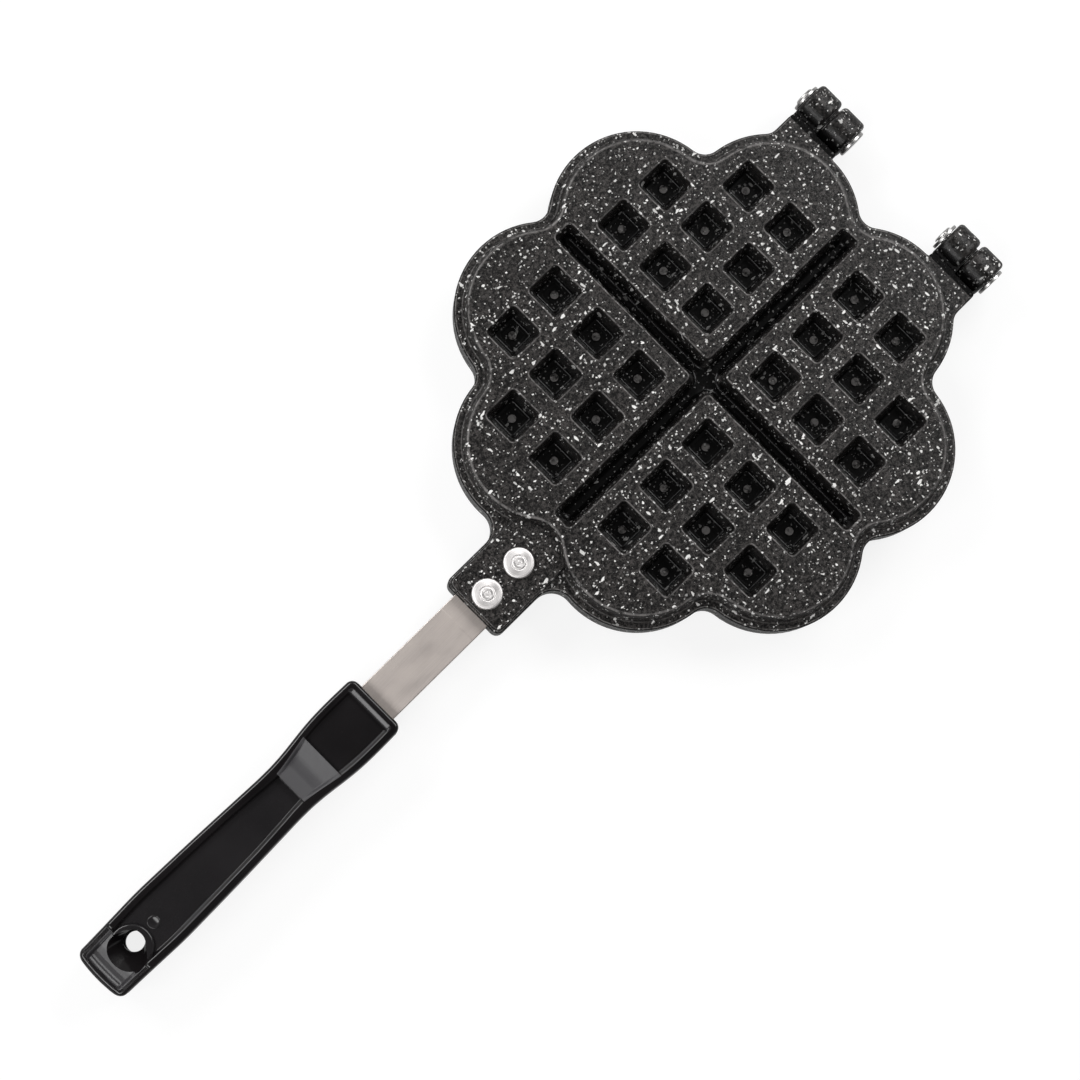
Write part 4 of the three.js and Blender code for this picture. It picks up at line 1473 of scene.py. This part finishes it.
@dataclass(frozen=True)
class HingePin:
    """Headed pin through a hinge, with a washer under its set end."""

    radius: float = 3.0
    head: float = 6.4
    head_thickness: float = 1.4
    button: float = 4.2
    button_height: float = 0.9
    button_flat: float = 1.6
    slack: float = 0.03
    clearance: float = 0.3
    edge: float = 0.35
    steps: int = 48

    def disc(self, inner: float, outer: float, foot: float, top: float) -> Profile:
        """Section of a disc with eased edges, from its lower to its upper face."""
        e = self.edge
        return [(inner, foot), (outer - e, foot), (outer - e * 0.3, foot + e * 0.3), (outer, foot + e),
                (outer, top - e), (outer - e * 0.3, top - e * 0.3), (outer - e, top), (inner, top)]

    def pin(self, casting: Casting) -> bpy.types.Mesh:
        """The pin along Y about its hinge's middle, with its head towards -Y."""
        face = casting.knuckle_width + casting.knuckle_gap / 2 + self.clearance
        foot = face + self.head_thickness + self.clearance
        top = foot + self.button_height
        head = self.disc(self.radius, self.head, -face - self.head_thickness, -face)[1:]
        edge = [(self.button - 0.1, foot), (self.button, foot + 0.15), (self.button - 0.15, foot + 0.5)]
        button = [(self.radius, foot), *edge, (self.button - 0.7, top - 0.12), (self.button_flat, top), (0.0, top)]
        profile = [(0.0, -face - self.head_thickness), *head, *button]
        made = Shell().turned(profile, self.steps).mesh("pin")
        made.transform(Matrix.Rotation(-QUARTER, 4, "X"))
        return moved(made, casting.hinge_x)

    def washer(self, casting: Casting) -> bpy.types.Mesh:
        """The washer along Y about its hinge's middle."""
        foot = casting.knuckle_width + casting.knuckle_gap / 2 + self.clearance
        inner = self.radius + self.clearance + self.slack
        shell = Shell()
        section = self.disc(inner, self.head, foot, foot + self.head_thickness)
        rings = [shell.level(arc((0.0, 0.0), r, 0.0, 4 * QUARTER, self.steps)[:-1], h) for r, h in section]
        for one, other in zip(rings, [*rings[1:], rings[0]]):
            shell.bridge(one, other)
        made = shell.mesh("washer")
        made.transform(Matrix.Rotation(-QUARTER, 4, "X"))
        return moved(made, casting.hinge_x)


# The grips


@dataclass(frozen=True)
class Grip:
    """One half of the bakelite grip, sunk on its outside, with the hanging hole near its end."""

    length: float = 156.5
    width: float = 29.0
    height: float = 12.6
    parting: float = 0.5
    end_corner: float = 3.4
    collar_corner: float = 3.4
    end_crown: float = 1.5
    edge: float = 1.8
    inner_round: float = 1.0
    floor_round: float = 0.7
    recess_corner: float = 1.8
    hole_share: float = 0.89
    hole_radius: float = 4.5
    hole_shift: tuple[float, float] = (3.2, 0.5)
    mouths: tuple[tuple[float, float, float], ...] = ((9.7, -6.9, -1.8), (6.6, -1.9, -0.3))
    neck_height: float = 3.5
    hole_flare: float = 0.5
    lip_radius: float = 9.3
    lip_shift: tuple[float, float] = (1.3, -0.7)
    lip_foot: float = 5.0
    lip_drop: float = 0.1
    lip_edge: tuple[tuple[float, float], ...] = ((0.05, -1.0), (-0.1, -0.5), (-0.45, -0.15), (-1.0, 0.0))
    lip_half: tuple[float, float] = (-0.6, 20.0)
    slot_half: float = 9.55
    slot_low: float = 2.1
    slot_high: float = 5.7
    slot_length: float = 45.3
    outer_round: float = 0.35
    draft: float = 0.12
    least_half: float = 2.0
    step: float = 1.6
    gap: float = 0.09
    smoothing: float = 0.035
    end_reach: float = 24.0
    saddle: tuple[float, float] = (30.95, 48.95)
    end_slope: tuple[float, float] = (139.0, 153.4)
    lip: tuple[float, float] = (2.9, 5.2)
    # shares of satin and painted sheen on the sunk floor, before and after the saddle
    gloss: tuple[float, float] = (0.05, 0.14)
    stud_place: tuple[float, float] = (124.9, 0.1)
    stud: tuple[tuple[float, float], ...] = (
        (0.0, -1.0), (2.85, -1.0), (2.8, 0.02), (2.6, 0.22), (2.3, 0.30), (2.0, 0.24), (1.7, 0.10), (0.0, 0.06),
    )
    rim: tuple[tuple[float, float], ...] = (
        (0.0, 2.6), (30.6, 2.6), (31.0, 2.5), (40.0, 3.1), (48.9, 3.8), (60.0, 3.2), (75.0, 2.8),
    )
    plan: tuple[tuple[float, float], ...] = (
        (0.0, 0.98), (0.09, 1.0), (0.16, 0.98), (0.22, 0.9), (0.28, 0.815), (0.34, 0.795), (0.4, 0.82),
        (0.47, 0.848), (0.55, 0.878), (0.63, 0.903), (0.71, 0.922), (0.78, 0.94), (0.85, 0.912), (0.92, 0.886),
        (1.0, 0.869),
    )
    rim_line: tuple[tuple[float, float], ...] = (
        (0.0, 1.0), (0.2, 1.0), (0.36, 0.93), (0.55, 0.96), (0.74, 1.0), (0.884, 0.95), (0.889, 0.915), (1.0, 0.8),
    )
    sink: tuple[tuple[float, float], ...] = (
        (2.6, 0.0), (2.9, 0.03), (3.2, 0.09), (3.6, 0.20), (4.1, 0.36), (4.6, 0.55), (5.0, 0.75), (5.3, 1.1),
        (5.6, 1.6), (5.9, 2.15), (30.6, 2.2), (31.0, 0.55), (31.3, 0.35), (34.0, 1.10),
        (37.5, 2.00), (39.0, 2.20), (41.0, 2.22), (42.5, 2.05), (45.5, 1.15), (48.5, 0.25), (48.9, 0.45),
        (49.3, 2.9), (56.0, 3.0), (70.0, 2.85), (102.0, 2.4), (130.0, 1.9), (138.6, 1.8), (139.1, 0.7),
        (142.0, 0.95), (146.0, 1.45), (149.0, 2.1), (150.8, 2.7), (151.5, 2.85), (152.4, 2.65), (153.3, 1.9),
        (153.9, 0.9), (154.3, 0.1), (154.5, 0.0),
    )

    def smooth_plan(self, share: float) -> float:
        """Share of the width at a share of the length, rounded off between the named points."""
        samples = [between(self.plan, share + self.smoothing * k / 4) for k in range(-4, 5)]
        return sum(samples) / len(samples)

    def half_width(self, distance: float) -> float:
        """Half-width at a distance from the collar."""
        half = self.width / 2 * min(1.0, self.smooth_plan(distance / self.length))
        return half - corner_draw(self.collar_corner, distance) - corner_draw(self.end_corner, self.length - distance)

    def top(self, distance: float) -> float:
        """Height of the rim at a distance from the collar."""
        line = self.height * between(self.rim_line, distance / self.length)
        return line - corner_draw(self.edge, distance) - corner_draw(self.edge, self.length - distance)

    def stations(self) -> list[float]:
        """Distances from the collar at which a section is drawn."""
        places = {round(place * self.step, 3) for place in range(int(self.length / self.step) + 1)}
        places |= {place for place, _ in self.sink} | {share * self.length for share, _ in self.rim_line}
        for radius in (self.edge, self.collar_corner):
            places |= {radius * (1 - math.cos(QUARTER * k / 6)) for k in range(7)}
        for radius in (self.edge, self.end_corner):
            places |= {self.length - radius * (1 - math.cos(QUARTER * k / 6)) for k in range(7)}
        spaced: list[float] = []
        for place in sorted(places | {self.length}):
            if not spaced or place - spaced[-1] > self.gap:
                spaced.append(place)
        spaced[-1] = self.length
        return spaced

    def section(self, distance: float) -> list[tuple[float, float]]:
        """Closed section across the grip at a distance from the collar, as (y, height)."""
        half, top = self.half_width(distance), self.top(distance)
        first, last = self.sink[0][0], self.sink[-1][0]
        ease = corner_draw(self.recess_corner, max(0.0, min(distance - first, last - distance)))
        depth = between(self.sink, distance) if first < distance < last else 0.0
        inner = max(half - between(self.rim, distance) - ease, self.least_half)
        right = [(half - self.outer_round, self.parting), (half, self.parting + self.outer_round)]
        right += [(half - self.edge * (1 - math.cos(a)), top - self.edge * (1 - math.sin(a)))
                  for a in (QUARTER * k / 6 for k in range(7))]
        floor, thirds = top - depth, [QUARTER * k / 3 for k in range(4)]
        soft, foot = min(self.inner_round, depth / 2), min(self.floor_round, depth / 2)
        right += [(inner + 0.05 - self.inner_round * math.sin(a), top - soft * (1 - math.cos(a))) for a in thirds]
        wall = inner - self.inner_round - self.draft * max(depth, 0.3)
        right += [(wall - self.floor_round * (1 - math.cos(a)), floor + foot * (1 - math.sin(a))) for a in thirds]
        middle = wall - self.floor_round
        right += [(middle * 0.66, floor), (middle * 0.33, floor), (0.0, floor)]
        return right + [(-y, height) for y, height in reversed(right[:-1])]

    def crowned(self, distance: float, y: float) -> float:
        """Distance from the collar, drawn back at the sides of the convex end."""
        share = max(0.0, 1 - (self.length - distance) / self.end_reach)
        return distance - self.end_crown * share**2 * (2 * y / self.width) ** 2

    def satin(self, distance: float, y: float, height: float) -> float:
        """Where the moulding is satin and painted with a lighter sheen: on the saddle and on the sloping end, less on
        the lip and on the sunk floor.
        """
        inner = self.half_width(distance) - between(self.rim, distance)
        if abs(y) > inner + 0.1 or height < self.slot_high:
            return 0.0
        share = (height - self.neck_height) / (self.height - self.neck_height)
        away = self.length * self.hole_share - distance
        for mouth, lean_x, lean_y in self.mouths:
            middle = (self.hole_shift[0] + share * lean_x, self.hole_shift[1] + share * lean_y)
            if math.dist((away, y), middle) < self.hole_radius + share * (mouth - self.hole_radius) + 0.05:
                return 0.0
        for (start, end), satin in ((self.lip, 0.25), (self.saddle, 1.0), (self.end_slope, 0.6)):
            if start < distance < end:
                return satin
        if abs(y) > inner - self.inner_round - self.floor_round - 0.3:
            return 0.0
        return self.gloss[0] if distance < self.saddle[0] else self.gloss[1]

    def funnel(self, mouth: float, lean: tuple[float, float]) -> Shell:
        """Hanging hole about its middle: a slanting funnel from a wide mouth down to a round neck."""
        flare = (mouth - self.hole_radius) / (self.height - self.neck_height)
        past = 1 + 1 / (self.height - self.neck_height)
        wide = self.hole_radius + self.hole_flare
        levels = [
            (wide, 0.0, -1.0), (wide, 0.0, self.parting + 0.02),
            (self.hole_radius, 0.0, self.parting + self.hole_flare), (self.hole_radius, 0.0, self.neck_height),
            (mouth + flare, past, self.height + 1.0),
        ]
        away_x, away_y = lean
        return Shell().close([
            (arc((away_x * share, away_y * share), radius, 0.0, 4 * QUARTER, 64)[:-1], height)
            for radius, share, height in levels
        ])

    def lip_ring(self, hole_x: float) -> bpy.types.Mesh:
        """Half ring that stands around the side of the hanging hole nearest to the collar.

        Args:
            hole_x: x of the hanging hole's middle.

        Returns:
            The closed mesh of the half ring, in place.
        """
        top = self.top(self.length * self.hole_share - 3.0) - self.lip_drop
        edge = [(self.lip_radius + wider, top + rise) for wider, rise in self.lip_edge]
        foot = [(0.0, self.lip_foot), (self.lip_radius + 0.3, self.lip_foot)]
        ring = Shell().turned([*foot, *edge, (0.0, top)], 64).mesh("boss")
        near, reach = self.lip_half
        keep = Shell().block((hole_x + near, -reach, 0.0), (hole_x + reach, reach, reach)).mesh("keep")
        return combine(moved(ring, hole_x + self.lip_shift[0], self.lip_shift[1]), keep, Cut.SHARED)

    def mesh(self, casting: Casting) -> bpy.types.Mesh:
        """The grip half, closed."""
        shell = Shell()
        collar = casting.lug_end - HandleStrip().exposed
        rings = [
            shell.ring([(collar - self.crowned(distance, y), y, h) for y, h in self.section(distance)])
            for distance in self.stations()
        ]
        for one, other in zip(rings, rings[1:]):
            shell.bridge(one, other)
        for ring in (rings[0], rings[-1]):
            shell.fill(ring, plane=(1, 2))
        body = shell.mesh("grip")
        hole_x = collar - self.length * self.hole_share
        body = combine(body, self.lip_ring(hole_x), Cut.JOIN)
        shift_x, shift_y = self.hole_shift
        for mouth, *lean in self.mouths:
            hole = self.funnel(mouth, lean).mesh("hole")
            body = combine(body, moved(hole, hole_x + shift_x, shift_y), Cut.TAKE_AWAY)
        slot = Shell().block(
            (collar - self.slot_length, -self.slot_half, self.slot_low), (collar + 1.0, self.slot_half, self.slot_high)
        ).mesh("slot")
        body = combine(body, slot, Cut.TAKE_AWAY)
        away, aside = self.stud_place
        stud = Shell().turned(list(self.stud), 40).mesh("stud")
        floor = self.top(away) - between(self.sink, away)
        body = combine(body, moved(stud, collar - away, aside, floor), Cut.JOIN)
        # painted sheen and satin roughness, written on the mesh for the bakelite to read
        mark(body, SATIN_SHEEN, lambda x, y, height: self.satin(collar - x, y, height), True)
        return body


# The whole iron


@dataclass
class WaffleIron:
    """Both halves with their fasteners, set in the frame."""

    casting: Casting = field(default_factory=Casting)
    strip: HandleStrip = field(default_factory=HandleStrip)
    rivet: StripRivet = field(default_factory=StripRivet)
    grip: Grip = field(default_factory=Grip)
    pin: HingePin = field(default_factory=HingePin)

    def __post_init__(self) -> None:
        """Makes the finishes and the patterns, and finds the hinge axis in the frame."""
        self.coating = GraniteCoating()
        self.strip_steel = StripSteel()
        self.rivet_steel = TurnedSteel()
        self.pin_steel = PinSteel()
        self.bakelite = Bakelite()
        self.hearts = heart_field()
        self.row = row_of()
        low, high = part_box("left_hinge_pin")
        middle = (low + high) / 2
        self.origin = Vector((middle.x - self.casting.hinge_x * MM, 0.0, middle.z))

    def placed(self, mesh: bpy.types.Mesh, side: Side) -> bpy.types.Mesh:
        """Copy of a mesh set in the frame as part of a half."""
        copy = mesh.copy()
        turn = Matrix.Identity(4) if side is Side.UPPER else Matrix.Rotation(math.pi, 4, "X")
        copy.transform(Matrix.Translation(self.origin) @ turn)
        return copy

    def hand_over(self, name: str, mesh: bpy.types.Mesh, finish: Finish, body: str, *nodes: str) -> None:
        """Dresses a piece, lets it ride on its body and stand for its parts of the frame.

        Args:
            name: name of the piece.
            mesh: its mesh, in place.
            finish: what it is dressed in.
            body: the body that it rides on.
            *nodes: the frame's parts that it stands for.
        """
        piece = dressed(name, mesh, finish.material)
        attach(piece, body)
        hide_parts(*nodes)
        log.info("%s: %d faces on %s", name, len(piece.data.polygons), body)

    def build(self) -> None:
        """Makes every piece of both halves."""
        casting = self.casting.mesh(self.hearts)
        strip = self.strip.mesh(self.casting)
        grip = self.grip.mesh(self.casting)
        rivet_x = self.casting.lug_end + self.casting.rivet_inset
        rivets = self.row.mesh(
            self.rivet.mesh(), self.rivet_steel.material, Count=2, First_X=rivet_x * MM,
            Step_X=self.casting.rivet_spacing * MM,
        )
        for side in Side:
            name, body = side.value, side.body
            self.hand_over(f"{name}_casting", self.placed(casting, side), self.coating, body, f"{name}_plate")
            self.hand_over(
                f"{name}_strip", self.placed(strip, side), self.strip_steel, body, f"{name}_handle_strip"
            )
            self.hand_over(f"{name}_grip", self.placed(grip, side), self.bakelite, body, f"{name}_handle_grip")
            self.hand_over(
                f"{name}_rivets", self.placed(rivets, side), self.rivet_steel, body,
                f"{name}_strip_rivet_1", f"{name}_strip_rivet_2",
            )
        spread = {
            "Count": 2, "First_Y": self.casting.hinge_offset * MM, "Step_Y": -2 * self.casting.hinge_offset * MM,
        }
        pins = self.row.mesh(self.pin.pin(self.casting), self.pin_steel.material, **spread)
        washers = self.row.mesh(self.pin.washer(self.casting), self.pin_steel.material, **spread)
        body = Side.LOWER.body
        self.hand_over(
            "hinge_pins", self.placed(pins, Side.UPPER), self.pin_steel, body, "left_hinge_pin", "right_hinge_pin"
        )
        self.hand_over(
            "hinge_washers", self.placed(washers, Side.UPPER), self.pin_steel, body,
            "left_hinge_washer", "right_hinge_washer",
        )


# The studio


@dataclass(frozen=True)
class Lamp:
    """A rectangular soft lamp: its place and size in metres and its power in watts."""

    name: str
    place: tuple[float, float, float]
    size: tuple[float, float]
    power: float

    def hang(self) -> None:
        """Hangs the lamp so that it faces the iron."""
        light = bpy.data.lights.new(self.name, "AREA")
        light.shape = "RECTANGLE"
        light.size, light.size_y = self.size
        light.energy = self.power
        lamp = bpy.data.objects.new(self.name, light)
        bpy.context.scene.collection.objects.link(lamp)
        lamp.location = self.place
        lamp.rotation_euler = Vector(self.place).to_track_quat("Z", "Y").to_euler()


@dataclass(frozen=True)
class Studio:
    """Camera, floor and soft light."""

    image: float = 1080.0
    focal: float = 2600.0
    sensor: float = 36.0
    stand: tuple[float, float, float] = (-227.48, -26.6, 1067.77)
    tilt: tuple[float, float, float] = (5.9921, -3.9613, -44.8586)
    floor_size: float = 8.0
    floor_drop: float = 0.0002
    floor_matt: float = 0.8
    floor_mirrored: tuple[float, float] = (0.3, 0.2)
    floor_seen: tuple[float, float] = (0.2, 0.84)
    backdrop: float = 0.93
    dim_side: tuple[float, float, float] = (-0.19, 0.0, 0.98)
    sky_levels: tuple[tuple[float, float], ...] = (
        (0.0, 0.16), (0.2, 0.32), (0.4, 0.55), (0.7, 0.38), (0.866, 0.2), (0.945, 0.09), (1.0, 0.06),
    )
    side_share: float = 0.4
    lamps: tuple[Lamp, ...] = (
        Lamp("lamp_hinges", (1.04, 0.0, 0.94), (1.1, 0.50), 9.5),
        Lamp("lamp_handle", (-0.84, 0.0, 1.12), (1.0, 0.45), 7.0),
        Lamp("lamp_side", (-0.12, 1.07, 0.90), (0.9, 0.42), 7.4),
    )

    def camera(self, origin: Vector) -> None:
        """Sets the camera where the photograph was taken from.

        Args:
            origin: the casting's middle in the frame, in metres.
        """
        lens = bpy.data.cameras.new("camera")
        lens.sensor_width = self.sensor
        lens.lens = self.focal / self.image * self.sensor
        lens.clip_start, lens.clip_end = 0.01, 50.0
        camera = bpy.data.objects.new("camera", lens)
        bpy.context.scene.collection.objects.link(camera)
        camera.location = origin + Vector(self.stand) * MM
        camera.rotation_euler = [math.radians(angle) for angle in self.tilt]
        bpy.context.scene.camera = camera

    def floor(self) -> None:
        """Lays a plain pale floor that keeps the iron's shadow."""
        half = self.floor_size / 2
        mesh = bpy.data.meshes.new("floor")
        drop = -self.floor_drop
        corners = [(-half, -half, drop), (half, -half, drop), (half, half, drop), (-half, half, drop)]
        mesh.from_pydata(corners, [], [(0, 1, 2, 3)])
        floor = object_of("floor", mesh)
        material = bpy.data.materials.new("studio_floor")
        material.use_nodes = True
        nodes = Tree(material.node_tree)
        nodes.tree.nodes.clear()
        path = nodes.node("ShaderNodeLightPath")
        mirrored = nodes.math("MAXIMUM", path.outputs["Is Glossy Ray"], path.outputs["Is Transmission Ray"])
        mix = nodes.node("ShaderNodeBsdfDiffuse", Color=(*[self.floor_matt] * 3, 1)).outputs[0]
        views = (mirrored, self.floor_mirrored), (path.outputs["Is Camera Ray"], self.floor_seen)
        for seen, (own, glow) in views:
            soft = nodes.node("ShaderNodeBsdfDiffuse", Color=(own, own, own, 1))
            light = nodes.node("ShaderNodeEmission", Color=(1, 1, 1, 1), Strength=glow)
            bright = nodes.node("ShaderNodeAddShader", in0=soft.outputs[0], in1=light.outputs[0])
            mix = nodes.node("ShaderNodeMixShader", in0=seen, in1=mix, in2=bright.outputs[0]).outputs[0]
        out = nodes.node("ShaderNodeOutputMaterial")
        nodes.link(mix, out.inputs["Surface"])
        mesh.materials.append(material)

    def sky(self) -> None:
        """Surrounds the iron with soft light that is dim overhead, and the camera with a plain pale backdrop."""
        world = bpy.data.worlds.new("studio")
        bpy.context.scene.world = world
        world.use_nodes = True
        nodes = Tree(world.node_tree)
        nodes.tree.nodes.clear()
        where = nodes.node("ShaderNodeTexCoord").outputs["Generated"]
        dim = nodes.node("ShaderNodeVectorMath", {"operation": "DOT_PRODUCT"}, in0=where, in1=self.dim_side)
        ramp = nodes.node("ShaderNodeValToRGB", Fac=dim.outputs["Value"])
        elements = ramp.color_ramp.elements
        while len(elements) < len(self.sky_levels):
            elements.new(0.5)
        for element, (place, level) in zip(elements, self.sky_levels):
            element.position = place
            element.color = (level, level, level, 1)
        across = nodes.node("ShaderNodeSeparateXYZ", Vector=where).outputs["Y"]
        level = nodes.math("MULTIPLY_ADD", across, self.side_share, 1 - self.side_share)
        back = nodes.node("ShaderNodeBackground", Color=ramp.outputs[0], Strength=level)
        seen = nodes.node("ShaderNodeLightPath").outputs["Is Camera Ray"]
        pale = nodes.node("ShaderNodeBackground", Color=(*[self.backdrop] * 3, 1), Strength=1.0)
        mix = nodes.node("ShaderNodeMixShader", in0=seen, in1=back.outputs[0], in2=pale.outputs[0])
        out = nodes.node("ShaderNodeOutputWorld")
        nodes.link(mix.outputs[0], out.inputs["Surface"])

    def build(self, origin: Vector) -> None:
        """Sets up the whole studio."""
        self.camera(origin)
        self.floor()
        self.sky()
        for lamp in self.lamps:
            lamp.hang()
        bpy.context.scene.view_settings.view_transform = "Standard"
        log.info("studio ready")


def main() -> None:
    """Builds the studio and the iron."""
    logging.basicConfig(level=logging.INFO, format="%(name)s: %(message)s")
    iron = WaffleIron()
    Studio().build(iron.origin)
    iron.build()


if __name__ == "__main__":
    main()
